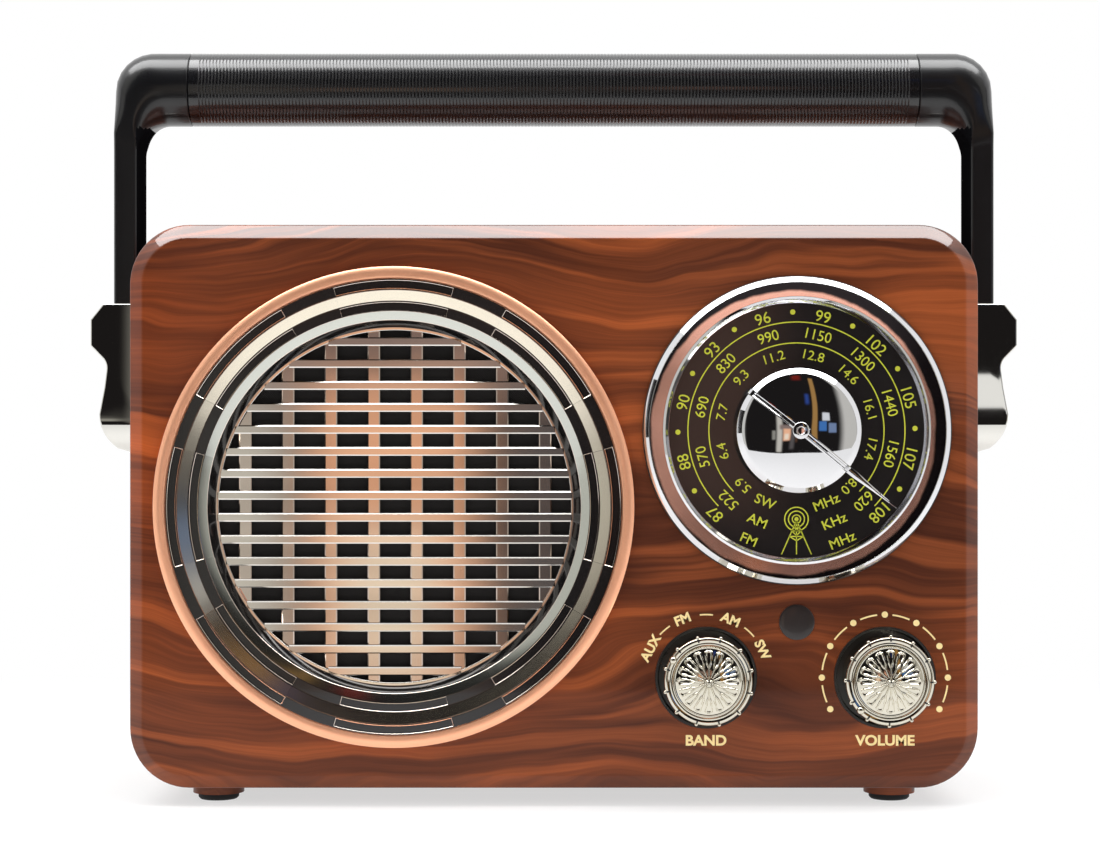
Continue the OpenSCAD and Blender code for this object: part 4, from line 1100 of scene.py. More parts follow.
class RADIO_OT_screws(bpy.types.Operator):
    """Case screws, deep in the back of the cabinet"""

    bl_idname = "radio.screws"
    bl_label = "Case screws"

    def execute(self, context):
        low, high = box_mm("case_screws")
        radius, head, cross = 3.0, 1.8, 2.0
        tip = head - (high.y - low.y)
        screw = Shape().add(*screw_head(radius, head, cross))
        screw.add(*lathe(rounded([(0, 0.01), (1.5, 0.01), (1.5, tip + 0.6), (0.9, tip),
                                  (0, tip)]), 20))
        mesh = repeated("grid", screw,
                        on_back(0, (low.z + high.z) / 2, high.y - head - BACK_Y),
                        "screw_steel", width=(high.x - low.x - 2 * radius) * MM,
                        height=(high.z - low.z - 2 * radius) * MM, columns=2, rows=2)
        place_piece("case_screw_set", mesh, "cabinet", ["case_screws"])
        return {"FINISHED"}


# ---------------------------------------------------------------- loudspeaker


ROW, SLOPE, EDGE, STEP = 0, 1, 2, 3


def bezel_section(state):
    """Points (radius, height) of the bezel across land, at a slot's lip and in a slot."""
    outer = {"land": (1.9, 1.9), "lip": (1.8, 1.8), "slot": (1.8, 1.0)}[state]
    inner = {"land": (0.6, 0.6), "lip": (0.5, 0.5), "slot": (0.5, -0.3)}[state]
    return [
        (68.4, 1.78), (68.28, 1.9), (67.92, 1.9), (67.8, outer[0]), (67.78, outer[1]),
        (65.52, outer[1]), (65.5, outer[0]), (65.38, 1.9), (65.02, 1.9), (64.82, 1.866),
        (61.86, 0.625), (61.7, 0.6), (61.42, 0.6), (61.3, inner[0]), (61.28, inner[1]),
        (59.02, inner[1]), (59.0, inner[0]), (58.88, 0.6), (58.76, 0.6), (58.6, 0.55),
        (56.2, -0.65), (56.02, -0.82), (54.06, -3.62), (54.0, -3.75), (54.0, -4.0),
        (54.8, -4.0), (54.8, -7.8), (59.0, -7.8), (59.0, -3.0), (62.4, -3.0), (62.4, 0.0),
        (68.4, 0.0)]


BEZEL_TONES = [EDGE, ROW, EDGE, ROW, ROW, ROW, EDGE, ROW, EDGE, SLOPE, ROW, ROW, EDGE, ROW,
               ROW, ROW, EDGE, ROW, EDGE, STEP, EDGE] + [ROW] * 11
SLOT_LIPS = (2, 6, 12, 16)
SLOT_FLOORS = (3, 4, 5, 13, 14, 15)


def bezel_parts(slots):
    """Points, faces and tones of the stepped bezel with its two rows of arc slots."""
    slot_width, lip, wall, inside, between = 30.5, 0.1, 0.02, 16, 8
    stations = []
    for i in range(slots):
        start, end = 360 / slots * i - slot_width / 2, 360 / slots * i + slot_width / 2
        following = 360 / slots * (i + 1) - slot_width / 2
        stations += [(start - lip, "land"), (start, "lip")]
        low, high = start + wall, end - wall
        stations += [(low + (high - low) * k / inside, "slot") for k in range(inside + 1)]
        stations += [(end, "lip")]
        low, high = end + lip, following - lip
        stations += [(low + (high - low) * k / between, "land") for k in range(between)]
    points = [(*spoke(r, angle), h) for angle, state in stations for r, h in bezel_section(state)]
    faces, tones = [], []
    count = len(BEZEL_TONES)
    for j, (_, state) in enumerate(stations):
        other = stations[(j + 1) % len(stations)][1]
        a, b = j * count, (j + 1) % len(stations) * count
        for k in range(count):
            m = (k + 1) % count
            faces.append([a + k, b + k, b + m, a + m])
            tone = BEZEL_TONES[k]
            if k in SLOT_LIPS and state == other == "land":
                tone = ROW
            if k in SLOT_FLOORS and {state, other} == {"land", "lip"}:
                tone = EDGE
            tones.append(tone)
    return points, faces, tones


class RADIO_OT_trim_ring(bpy.types.Operator):
    """Copper ring round the loudspeaker"""

    bl_idname = "radio.trim_ring"
    bl_label = "Speaker trim ring"

    def execute(self, context):
        profile = [(72, 0), (72, 2.1)] + arc(69.9, -0.2, 3.2, 49, 113, 10) + [
            (68.5, 2.4), (68.5, 0)]
        Shape().add(*lathe(profile, 192), place=on_front(SPEAKER)).piece(
            "speaker_ring", "cabinet", "copper_trim", ["speaker_trim_ring"])
        return {"FINISHED"}


class RADIO_OT_bezel(bpy.types.Operator):
    """Stepped bezel between the trim ring and the grille"""

    bl_idname = "radio.bezel"
    bl_label = "Speaker bezel"

    def execute(self, context):
        bezel = bezel_parts(context.scene.radio_speaker.slots)
        Shape().add(*bezel, place=on_front(SPEAKER)).piece(
            "speaker_surround", "cabinet", "dark_chrome", ["speaker_bezel"], "row_gloss",
            "slope_chrome", "pale_edge", "step_chrome", crease=25)
        return {"FINISHED"}


class RADIO_OT_grille(bpy.types.Operator):
    """Lattice of bars across the loudspeaker's opening"""

    bl_idname = "radio.grille"
    bl_label = "Speaker grille"

    def execute(self, context):
        look = context.scene.radio_speaker
        opening, low, high, bevel = 53.6, -7.0, -4.0, 0.34
        half_way, shoulder = (low + high) / 2, bevel * 0.74

        def bars(count, pitch, width, bottom, top, turn):
            """Bars with bevelled front edges, across the opening or turned."""
            half, flat = width / 2, width / 2 - bevel
            ends = [(-half, bottom), (half, bottom), (half, top - shoulder), (flat, top),
                    (-flat, top), (-half, top - shoulder)]
            bar = Shape().add(*loft([[(x, y, z) for y, z in ends] for x in (-1000, 1000)]))
            return repeated("chords", bar, on_front(SPEAKER, 0, turn), "grille_chrome",
                            bars=count, pitch=pitch * MM, opening_radius=opening * MM)

        across = bars(look.bars_across, pitch=6.63, width=2.55, bottom=half_way, top=high,
                      turn=0)
        behind = bars(look.bars_up, pitch=12.95, width=3.75, bottom=low, top=half_way,
                      turn=math.pi / 2)
        rim = rounded([(53.1, low), (53.1, high, 0.3), (54.7, high), (54.7, low)])
        ring = Shape().add(*lathe(rim, SIDES), place=on_front(SPEAKER))
        place_piece("grille", joined([across, behind, ring.mesh("grille_rim", "grille_chrome")]),
                    "cabinet", ["speaker_grille"])
        coat_mesh(NODES["grille_cloth"].data, "grille_fabric")
        return {"FINISHED"}


# ---------------------------------------------------------------- dial


class RADIO_OT_dial(bpy.types.Operator):
    """Chrome bezel, rose-gold ring and black plate of the tuning dial"""

    bl_idname = "radio.dial"
    bl_label = "Dial"

    def execute(self, context):
        profile = rounded(
            [(46.3, 0), (46.3, 1.2, 0.25), (45.95, 1.53), (44.45, 2.94, 0.3), (44.3, 2.7),
             (44.4, 2.4), (40.2, 0.9, 0.15), (40.2, 1.25, 0.1), (39.45, 1.7, 0.06),
             (39.3, 1.5, 0.1), (39.3, 0, 0.3), (38.4, -1), (38.4, -2.5), (36.5, -2.5),
             (36.5, -3), (43.9, -3), (43.9, 0)])
        place = on_front(DIAL)
        # Painted shadow: the rim's outer foot, where it meets the wood, is black like the wells.
        rim = lathe(profile, SIDES, tone=lambda r, h: 1 if r > 45.95 and h < 1.6 else 0)
        Shape().add(*rim, place=place).piece(
            "dial_rim", "cabinet", "bright_chrome", ["dial_bezel"], "bright_chrome",
            "well_black")
        ring = rounded([(40.2, 0.9), (44.4, 2.4), (44.4, 2.7, 0.1), (40.2, 1.2, 0.1)])
        Shape().add(*lathe(ring, SIDES), place=place).piece(
            "dial_inner_band", "cabinet", "rose_gold", ["dial_inner_ring"])
        plate = rounded([(8, -2.5), (8, -1), (38.3, -1, 0.15), (38.3, -2.5)])
        Shape().add(*lathe(plate, SIDES), place=place).piece(
            "dial_face", "cabinet", "dial_black", ["dial_plate"])
        return {"FINISHED"}


SCALE_ANGLES = (-135.6, -105.6, -76, -46.4, -16.8, 13.2, 43.4, 73.8, 104.2, 135)
# radius, share of the number height and stretch of each scale, then its figures
SCALES = (
    (35.2, 1.0, 1.0, ("87", "88", "90", "93", "96", "99", "102", "105", "107", "108")),
    (29.4, 0.92, 0.98,
     ("522", "570", "690", "830", "990", "1150", "1300", "1440", "1560", "1620")),
    (23.1, 0.82, 1.06,
     ("5.9", "6.4", "7.7", "9.3", "11.2", "12.8", "14.6", "16.1", "17.4", "18.0")))


class RADIO_OT_dial_print(bpy.types.Operator):
    """Printed scales of the dial, with a small sign of a transmitter mast"""

    bl_idname = "radio.dial_print"
    bl_label = "Dial scales"

    def execute(self, context):
        size, lift, thick = context.scene.radio_dial.number_size, -1.0, 0.05
        dots, stroke = 35.6, 0.17
        inks, place = Shape(), on_front(DIAL, lift)
        for radius, share, wide, figures in SCALES:
            for angle, words in zip(SCALE_ANGLES, figures):
                inks.add(*letters(words, size * share, 0.0, thick, wide),
                         place=round_the(DIAL, radius, angle, lift))
        for first, second in zip(SCALE_ANGLES, SCALE_ANGLES[1:]):
            inks.add(*dot(*spoke(dots, (first + second) / 2), 0.78, thick), place=place)
        for radius in (32.6, 26.3):
            inks.add(*arc_strip(radius, stroke, -134, 134, thick, 150), place=place)
        for angle, names in ((157.2, ("MHz", "KHz", "MHz")), (203.6, ("FM", "AM", "SW"))):
            for radius, words in zip((35.6, 29.4, 23.2), names):
                inks.add(*letters(words, size * 0.84, 0.008, thick, 1.06),
                         place=round_the(DIAL, radius, angle, lift)
                         @ Matrix.Rotation(math.pi, 4, "Z"))
        mast = place @ upright(0, -26.6)
        for radius in (1.25, 2.4, 3.55):
            for start in (0, 180):
                inks.add(*arc_strip(radius, stroke, start, start + 180, thick, 24), place=mast)
        inks.add(*dot(0, 0, 0.62, thick), place=mast)

        def line(x0, y0, x1, y1, half=0.16):
            """A thin straight stroke."""
            run = Vector((x1 - x0, y1 - y0)).normalized() * half
            inks.add(*prism([(x0 - run.y, y0 + run.x), (x1 - run.y, y1 + run.x),
                             (x1 + run.y, y1 - run.x), (x0 + run.y, y0 - run.x)], thick),
                     place=mast)

        spread, top, foot = 4.5, 0.5, 10.6
        for x in (-spread, 0, spread):
            line(0, -top, x, -foot)
        for low in (2.2, 3.6, 5.2):
            wide = spread * (low - top) / (foot - top)
            line(-wide, -low, wide, -low)
            line(-wide, -low, 0, -low - 1.3)
            line(wide, -low, 0, -low - 1.3)
        inks.piece("dial_scales", "cabinet", None, (), "scale_ink", crease=20)
        return {"FINISHED"}


CROWN_CENTRE, CROWN_RADIUS = -30.356, 42.0


def crown(r):
    """Height of the tuning knob's crown at a radius."""
    return CROWN_CENTRE + math.sqrt(CROWN_RADIUS ** 2 - r * r)


class RADIO_OT_tuning_knob(bpy.types.Operator):
    """Mirror knob of the tuning dial, with a rounded rim"""

    bl_idname = "radio.tuning_knob"
    bl_label = "Tuning knob"

    def execute(self, context):
        top = [(r, crown(r)) for r in (0.0, 3, 6, 9, 11.5, 13.5, 15, 16.2, 16.9)]
        profile = [(3, 0.8), (6, 0.8), (6, 3.3), (16.6, 3.3), (16.6, -0.7)] + rounded(
            [(18.6, -0.7, 0.2), (18.6, 6.45, 0.3), (17.15, 7.85, 0.2), (16.9, crown(16.9))],
            closed=False)
        profile += top[-2::-1] + [(0, 5.8), (3, 5.8)]
        Shape().add(*lathe(profile, SIDES), place=on_front(DIAL)).piece(
            "tuning_dome", "tuning", "bright_chrome", ["tuning_knob"])
        return {"FINISHED"}


class RADIO_OT_pointer(bpy.types.Operator):
    """Ribbed bar across the knob, needle and hub"""

    bl_idname = "radio.pointer"
    bl_label = "Pointer"

    def execute(self, context):
        place = on_front(DIAL, 0, context.scene.radio_dial.pointer_angle)
        bar, half, steps = Shape(), 17.9, 40
        section = [(-1.0, 0.12), (-0.92, 0.34), (-0.62, 0.44), (-0.36, 0.24), (-0.2, 0.42),
                   (0.2, 0.42), (0.36, 0.24), (0.62, 0.44), (0.92, 0.34), (1.0, 0.12),
                   (1.0, -0.3), (-1.0, -0.3)]
        sections = []
        for k in range(steps + 1):
            y, share = half * (2 * k / steps - 1), 0.9 if 0 < k < steps else 0.5
            skin = crown(min(abs(y), 17.7))
            sections.append([(x, y, skin + lift * share) for x, lift in section])
        bar.add(*loft(sections), place=place)
        needle = []
        for y, half in ((16.5, 1.05), (21.2, 1.05), (26.5, 0.66), (31.8, 0.38), (37.1, 0.2)):
            needle.append([(-half, y, 6.92), (half, y, 6.92), (half, y, 7.12),
                           (half * 0.3, y, 7.4), (-half * 0.3, y, 7.4), (-half, y, 7.12)])
        bar.add(*loft(needle), place=place)
        for side in (-1, 1):
            clip = [(side * 17.2, crown(17.2)), (side * 18.1, 7.75), (side * 18.75, 7.0),
                    (side * 18.95, 5.6)]
            sections = []
            for y, h in clip:
                over, under = y + side * 0.2, y - side * 0.4
                sections.append([(-1.0, y, h), (-0.8, over, h + 0.28), (0.8, over, h + 0.28),
                                 (1.0, y, h), (0.9, under, h - 0.3), (-0.9, under, h - 0.3)])
            bar.add(*loft(sections), place=place)
        hub = rounded([(0, 11.3), (2.5, 11.3), (2.5, 12.3, 0.3), (1.25, 12.64, 0.2),
                       (1.0, 12.35, 0.1), (0, 12.39)])
        bar.add(*lathe(hub, 48), place=place)
        bar.piece("needle_and_bar", "tuning", "bright_chrome", ["dial_pointer"], crease=26)
        return {"FINISHED"}


# ---------------------------------------------------------------- small knobs


def star_edge(t, points, tip, waist):
    """Radius of a star's outline at an angle from one of its tips."""
    half = math.pi / points
    t = abs((t + half) % (2 * half) - half)
    x, y = waist * math.cos(half), waist * math.sin(half)
    return tip * y / (math.cos(t) * y - math.sin(t) * (x - tip))


def medallion(spokes):
    """Ornament on a small knob: a star and ribs that fork round a ring of petals."""
    outer, top, dome_radius, relief = 10.1, 13.44, 28.0, 0.28
    rib, rib_start, rib_end, fork_start, fork_length = 0.27, 1.5, 8.9, 4.0, 1.6
    petals, petal_stretch, soft = 8.2, 8.6, 0.3

    def ridge(distance, width):
        return max(0.0, 1 - (distance / width) ** 2)

    def height(r, t):
        dome = top - (dome_radius - math.sqrt(dome_radius ** 2 - r * r))
        raised, step = 0.0, 2 * math.pi / spokes
        fork = min(1.0, max(0.0, (r - fork_start) / fork_length))
        if rib_start < r < rib_end:
            for branch in (-rib, rib):
                gap = (t - branch * step * fork + step / 2) % step - step / 2
                raised = max(raised, ridge(gap * r, rib))
        local = (t + step / 2) % step - step / 2
        tip = math.hypot(local * petal_stretch, r - petals)
        if r > petals:
            raised = max(raised, ridge(tip - rib * step * petal_stretch, soft))
        edge = star_edge(t - math.pi / 2, points=5, tip=1.55, waist=0.7)
        raised = max(raised, min(1.0, max(0.0, (edge - r) / soft)))
        return dome - relief + relief * raised

    radii = [0.3, 0.6, 0.8, 0.95, 1.1, 1.25, 1.4, 1.55, 1.7, 2.2, 2.8, 3.4, 3.9, 4.2, 4.5, 4.8,
             5.1, 5.4, 5.7, 6.3, 7.0, 7.7, 8.2, 8.45, 8.7, 8.85, 9.0, 9.2, 9.4, 9.7, outer]
    return relief_disc(radii, 320, height)


class RADIO_OT_wells(bpy.types.Operator):
    """Dark dished wells round the two small knobs"""

    bl_idname = "radio.wells"
    bl_label = "Knob wells"

    def execute(self, context):
        profile = rounded([(4.4, -5.5), (17, -5.5), (17, -3), (15.2, -3), (15.2, 0),
                           (14.4, 0, 0.35), (14.4, -4, 0.5), (4.4, -4)])
        wells = Shape()
        for centre in (BAND, VOLUME):
            wells.add(*lathe(profile, 96), place=on_front(centre))
        wells.piece("wells", "cabinet", "well_black", ["knob_wells"])
        return {"FINISHED"}


class RADIO_OT_small_knobs(bpy.types.Operator):
    """Band and volume knobs: grooved rim, studs, black strips of painted shade for slots, and an
    ornamented face
    """

    bl_idname = "radio.small_knobs"
    bl_label = "Band and volume knobs"

    def execute(self, context):
        look = context.scene.radio_knobs
        rim, height, slot_angles = 12.2, 10.5, (128, 104, 80, 56, 32, 12)
        side = rounded([(5.2, -1), (5.2, 8.4), (10.7, 8.4), (10.7, -3.7), (12.4, -3.7, 0.2),
                        (12.4, 9.0, 0.2)], closed=False)
        lip = rounded([(11.5, 11.25, 0.15), (11.1, 11.4, 0.1), (11.1, 10.6, 0.1),
                       (10.4, 10.6, 0.1), (10.25, 11.5, 0.15), (10.0, 11.5)], closed=False)
        body = [(3, -1)] + side + arc(rim, height, 0.9, -62, 100, 14) + lip + [
            (9.5, 11.2), (3, 11.2), (0, 11.2), (0, 10.2), (3, 10.2)]
        ornament = medallion(look.spokes)
        stud = Shape().add(*bead(0.62, (0.4, 0.8, 1.2, 1.6, 2.2), 12),
                           place=upright(0, 13.15, 10.75))
        # Painted shade: thin black strips laid just over the rim stand for the shade in slots.
        slot = Shape().add(*loft([
            [(x, rim + r * math.cos(a), height + r * math.sin(a))
             for x, r in ((-0.26, 0.7), (-0.26, 0.94), (0.26, 0.94), (0.26, 0.7))]
            for a in map(math.radians, slot_angles)]))
        ball = bead(1.2, (0.3, 0.6, 0.9, 1.2, 1.5, 1.8, 2.1), 24)
        turn = math.pi / look.studs
        round_rim = {"copies": look.studs, "first_angle": turn, "step_angle": 2 * turn}
        for name, body_name, node, centre, angle in (
                ("band_dial", "band", "band_knob", BAND, look.band_angle),
                ("volume_dial", "volume", "volume_knob", VOLUME, look.volume_angle)):
            place = on_front(centre, 0, angle)
            knob = Shape().add(*lathe(body, 120), place=place)
            knob.add(*ornament, place=on_front(centre))
            mark = Shape().add(*ball, place=place @ upright(0, rim, 11.4))
            mesh = joined([
                knob.mesh(name, "knob_chrome"),
                repeated("ring", stud, place, "knob_chrome", crease=60, **round_rim),
                repeated("ring", slot, place, "well_black", **round_rim),
                mark.mesh("mark", "knob_chrome")])
            place_piece(name, mesh, body_name, [node])
        return {"FINISHED"}


class RADIO_OT_panel_print(bpy.types.Operator):
    """Words, dots and dashes printed round the small knobs"""

    bl_idname = "radio.panel_print"
    bl_label = "Panel print"

    def execute(self, context):
        inks, thick, radius, bold = Shape(), 0.04, 18.9, 0.034
        place = on_front(VOLUME)
        for k in range(9):
            inks.add(*dot(*spoke(radius, 30 * k - 120), 0.95, thick), place=place)
        for k in range(8):
            inks.add(*arc_strip(radius, 0.24, 30 * k - 113, 30 * k - 97, thick, 8), place=place)
        for angle, words in ((-62, "AUX"), (-22, "FM"), (22.5, "AM"), (64, "SW")):
            inks.add(*letters(words, 2.9, bold, thick),
                     place=round_the(BAND, radius + 0.1, angle))
        for angle in (-41, 0.3, 43.5):
            inks.add(*arc_strip(radius, 0.22, angle - 6, angle + 6, thick, 8),
                     place=on_front(BAND))
        for centre, words in ((BAND, "BAND"), (VOLUME, "VOLUME")):
            inks.add(*letters(words, 3.1, bold, thick, 1.06), place=on_front((centre[0], 20.1)))
        inks.piece("panel_words", "cabinet", None, (), "panel_ink", crease=20)
        return {"FINISHED"}


class RADIO_OT_lens(bpy.types.Operator):
    """Smoked window over the indicator lamp"""

    bl_idname = "radio.lens"
    bl_label = "Indicator window"

    def execute(self, context):
        profile = rounded([(0, -4), (4.8, -4), (4.8, 0), (5.3, 0), (5.3, 0.35, 0.2),
                           (4.8, 0.55, 0.3)], closed=False) + [(3.2, 0.64), (1.6, 0.68), (0, 0.7)]
        Shape().add(*lathe(profile, 64, closed=False), place=on_front(LENS)).piece(
            "lamp_window", "cabinet", "smoked_lens", ["indicator_lens"])
        return {"FINISHED"}


# ---------------------------------------------------------------- handle


def corner_reach(angle, width, height, radius):
    """Distance from a corner's inner centre to its outline, which is rounded by radius."""
    c, s = math.cos(angle), math.sin(angle)
    if s > 1e-6 and height * c / s <= width - radius:
        return height / s
    if c > 1e-6 and width * s / c <= height - radius:
        return width / c
    ax, ay = width - radius, height - radius
    along = ax * c + ay * s
    return along + math.sqrt(along ** 2 - ax * ax - ay * ay + radius ** 2)


def arm_shape(side, start):
    """One handle arm: a round end that bends down into a flat bar with a round foot."""
    low, high = box_mm("handle_arm_right")
    outer, grip_z = high.x, (GRIP_LOW.z + GRIP_HIGH.z) / 2
    half_bar, bend, turns = 9.25, 9.0, 18
    inner, tube, pivot_z = outer - 7.3, (GRIP_HIGH.z - GRIP_LOW.z) / 2, low.z + half_bar
    cx, cz = inner - bend, grip_z - tube - bend
    stations = []

    def station(ix, iz, ox, oz, depth, corner):
        """One section: its inner and outer middle, its half depth and its corner radius."""
        stations.append((Vector((ix, iz)), Vector((ox, oz)), depth, corner))

    for x, shrink in ((start, 0.25), (start + 0.25, 0.0), (cx - 1.0, 0.0)):
        station(x, grip_z - tube + shrink, x, grip_z + tube - shrink, tube - shrink,
                tube - shrink)
    for k in range(turns + 1):
        angle = math.pi / 2 * (1 - k / turns)
        share = k / turns
        share = share * share * (3 - 2 * share)
        reach = corner_reach(angle, outer - cx, grip_z + tube - cz, 12.0)
        c, s = math.cos(angle), math.sin(angle)
        depth = tube + (half_bar - tube) * share
        corner = min((reach - bend) / 2, tube + (1.0 - tube) * min(1.0, share * 1.15))
        station(cx + bend * c, cz + bend * s, cx + reach * c, cz + reach * s, depth, corner)
    for z in (cz - 4, pivot_z + 20, pivot_z):
        station(inner, z, outer, z, half_bar, 1.0)
    for drop in (2.5, 4.8, 6.6, 7.9, 8.7, 9.1):
        wide = math.sqrt(half_bar ** 2 - drop ** 2)
        station(inner, pivot_z - drop, outer, pivot_z - drop, wide, min(1.0, wide * 0.6))
    sections = []
    for near, far, depth, corner in stations:
        mid, half = (near + far) / 2, (far - near) / 2
        reach, out = half.length, half.normalized()
        corner = min(corner, reach, depth)
        loop = []
        for u, v, first in ((1, 1, 0), (-1, 1, 90), (-1, -1, 180), (1, -1, 270)):
            for x, y in arc(u * (reach - corner), v * (depth - corner), corner, first,
                            first + 90, 8):
                spot = mid + out * x
                loop.append((side * spot.x, y, spot.y))
        sections.append(loop)
    points, faces = loft(sections)
    tones = []
    for face in faces:
        x = sum(abs(points[i][0]) for i in face) / len(face)
        z = sum(points[i][2] for i in face) / len(face)
        tones.append(1 if x < inner + 0.2 and z < cz + 7.5 else 0)
    return Shape().add(points, faces, tones)


class RADIO_OT_handle(bpy.types.Operator):
    """Ribbed grip and the two bent arms"""

    bl_idname = "radio.handle"
    bl_label = "Handle"

    def execute(self, context):
        look = context.scene.radio_handle
        centre = (GRIP_LOW + GRIP_HIGH) / 2
        half, radius = (GRIP_HIGH.x - GRIP_LOW.x) / 2, (GRIP_HIGH.z - GRIP_LOW.z) / 2
        pitch, sides = look.rib_pitch, 32
        copies = int(2 * (half - look.collar) / pitch)
        ribbed = copies * pitch / 2
        groove = radius - look.rib_height
        rib = Shape().add(*lathe([(groove, -pitch / 2), (radius, -pitch * 0.3),
                                  (radius, pitch * 0.3), (groove, pitch / 2)], sides,
                                 closed=False), place=along_x(0, 0, 0))
        meshes = [repeated("row", rib, upright(*centre), "handle_black", copies=copies,
                           pitch=pitch * MM)]
        for side in (-1, 1):
            collar = [(groove, side * ribbed), (radius, side * (ribbed + 0.2)),
                      (radius, side * (half - 0.25)), (radius - 0.25, side * half),
                      (0, side * half)]
            end = Shape().add(*lathe(collar, sides, closed=False), place=along_x(*centre))
            meshes.append(end.mesh("collar", "handle_black", outward=False))
        grip = keep_mesh(joined(meshes), weld=2 * WELD)
        place_piece("grip", grip, "handle", ["handle_grip"])
        for side, name in ((-1, "left"), (1, "right")):
            arm_shape(side, half + 0.1).piece("arm_" + name, "handle", "handle_black",
                                              ["handle_arm_" + name], "arm_black",
                                              "handle_inner")
        return {"FINISHED"}


class RADIO_OT_brackets(bpy.types.Operator):
    """Mirror-bright side brackets that carry the handle"""

    bl_idname = "radio.brackets"
    bl_label = "Side brackets"

    def execute(self, context):
        for side in ("left", "right"):
            softened("side_bracket_" + side, "bracket_" + side, "bright_chrome", 0.5,
                     "bracket_chrome")
        return {"FINISHED"}


# ---------------------------------------------------------------- back


class RADIO_OT_antenna(bpy.types.Operator):
    """Telescopic antenna"""

    bl_idname = "radio.antenna"
    bl_label = "Antenna"

    def execute(self, context):
        for node in ("antenna_mount", "antenna_tube", "antenna_section_1", "antenna_section_2",
                     "antenna_tip"):
            softened(node, node + "_rod", "antenna_chrome", 0.12)
        return {"FINISHED"}


class RADIO_OT_battery_door(bpy.types.Operator):
    """Battery door"""

    bl_idname = "radio.battery_door"
    bl_label = "Battery door"

    def execute(self, context):
        softened("battery_door", "battery_cover", "wood_finish", 0.35, "back_black")
        return {"FINISHED"}


class RADIO_OT_sockets(bpy.types.Operator):
    """Sockets and push buttons on the back"""

    bl_idname = "radio.sockets"
    bl_label = "Sockets and buttons"

    def execute(self, context):
        for node, slot in (("usb_socket", "contact_nickel"), ("aux_jack", "socket_black"),
                           ("power_jack", "socket_black")):
            softened(node, node + "_front", slot, 0.15)
        for node in ("button_back", "button_play", "button_next"):
            softened(node, node + "_cap", "button_grey", 0.25)
        return {"FINISHED"}


class RADIO_OT_inner_parts(bpy.types.Operator):
    """Finishes of the parts inside the cabinet"""

    bl_idname = "radio.inner_parts"
    bl_label = "Inner parts"

    def execute(self, context):
        for node, piece in NODES.items():
            if not piece.hide_render and node != "grille_cloth":
                coat_mesh(piece.data, SLOT_OF[node])
        return {"FINISHED"}


# ---------------------------------------------------------------- light, floor and camera


# place of the camera, in metres
EYE = (-0.0012, -0.7425, 0.1126)
# left, right, bottom, top and, unless it is 10, softness of each shape, then its colour
ROOM = (
    ((-116, -78, -60, 240, 12), (206, 202, 192)),
    ((-20, 14, -40, 150, 14), (92, 88, 88)),
    ((-96, 0, 122, 160, 12), (142, 124, 118)),
    ((-72, -22, 28, 128), (255, 196, 158)),
    ((-62, -34, 38, 84), (255, 238, 214)),
    ((22, 38, 10, 150, 12), (96, 66, 50)),
    ((112, 165, 117, 129.5, 0.5), (255, 255, 255)),
    ((-150, -126, 40, 112, 8), (150, 148, 140)),
    ((28, 66, 88, 172, 12), (255, 190, 164)),
    ((-2000, -450, -300, 2000, 60), (214, 213, 208)),
    ((480, 2000, -300, 2000, 60), (206, 204, 198)),
    ((178, 220, 20, 620, 8), (170, 130, 76)),
    ((236, 300, 110, 190, 8), (70, 122, 190)),
    ((262, 330, 196, 262, 8), (226, 230, 236)),
    ((318, 400, 96, 176, 8), (120, 140, 176)),
    ((120, 150, 330, 420, 16), (50, 76, 150)),
    ((20, 100, 590, 700, 24), (120, 34, 28)),
)


def seen_directly(tree, path):
    """1 for what the camera meets, also in a mirror or through glass."""
    return maths(tree, "MAXIMUM", path["Is Camera Ray"],
                 maths(tree, "MAXIMUM", path["Is Glossy Ray"], path["Is Transmission Ray"]))


def room_material():
    """Dark room with a few bright shapes, which only polished surfaces see."""
    material, tree, shader, here = new_material("studio_room")
    tree.nodes.remove(shader)
    x, y, z = split(tree, here)
    # p and q: the place on the radio's front, in millimetres, where a flat mirror shows this spot.
    mirror_scale = 530.0
    away = maths(tree, "MULTIPLY", y, -1.0)
    p = maths(tree, "DIVIDE", maths(tree, "MULTIPLY", x, mirror_scale), away)
    rise = maths(tree, "DIVIDE", maths(tree, "SUBTRACT", z, EYE[2]), away)
    q = maths(tree, "MULTIPLY_ADD", rise, mirror_scale, EYE[2] / MM)

    def block(p0, p1, q0, q1, soft=10.0):
        """Soft-edged rectangle."""
        shares = [ramp(tree, p, p0 - soft, p0 + soft), ramp(tree, p, p1 + soft, p1 - soft),
                  ramp(tree, q, q0 - soft, q0 + soft), ramp(tree, q, q1 + soft, q1 - soft)]
        first = maths(tree, "MULTIPLY", shares[0], shares[1])
        return maths(tree, "MULTIPLY", first, maths(tree, "MULTIPLY", shares[2], shares[3]))

    colour = srgb(30, 28, 28)
    for sides, tint in ROOM:
        colour = mixed(tree, block(*sides), colour, srgb(*tint))
    show(tree, add(tree, "ShaderNodeEmission", {"Color": colour, "Strength": 1.0}).outputs[0])
    return material


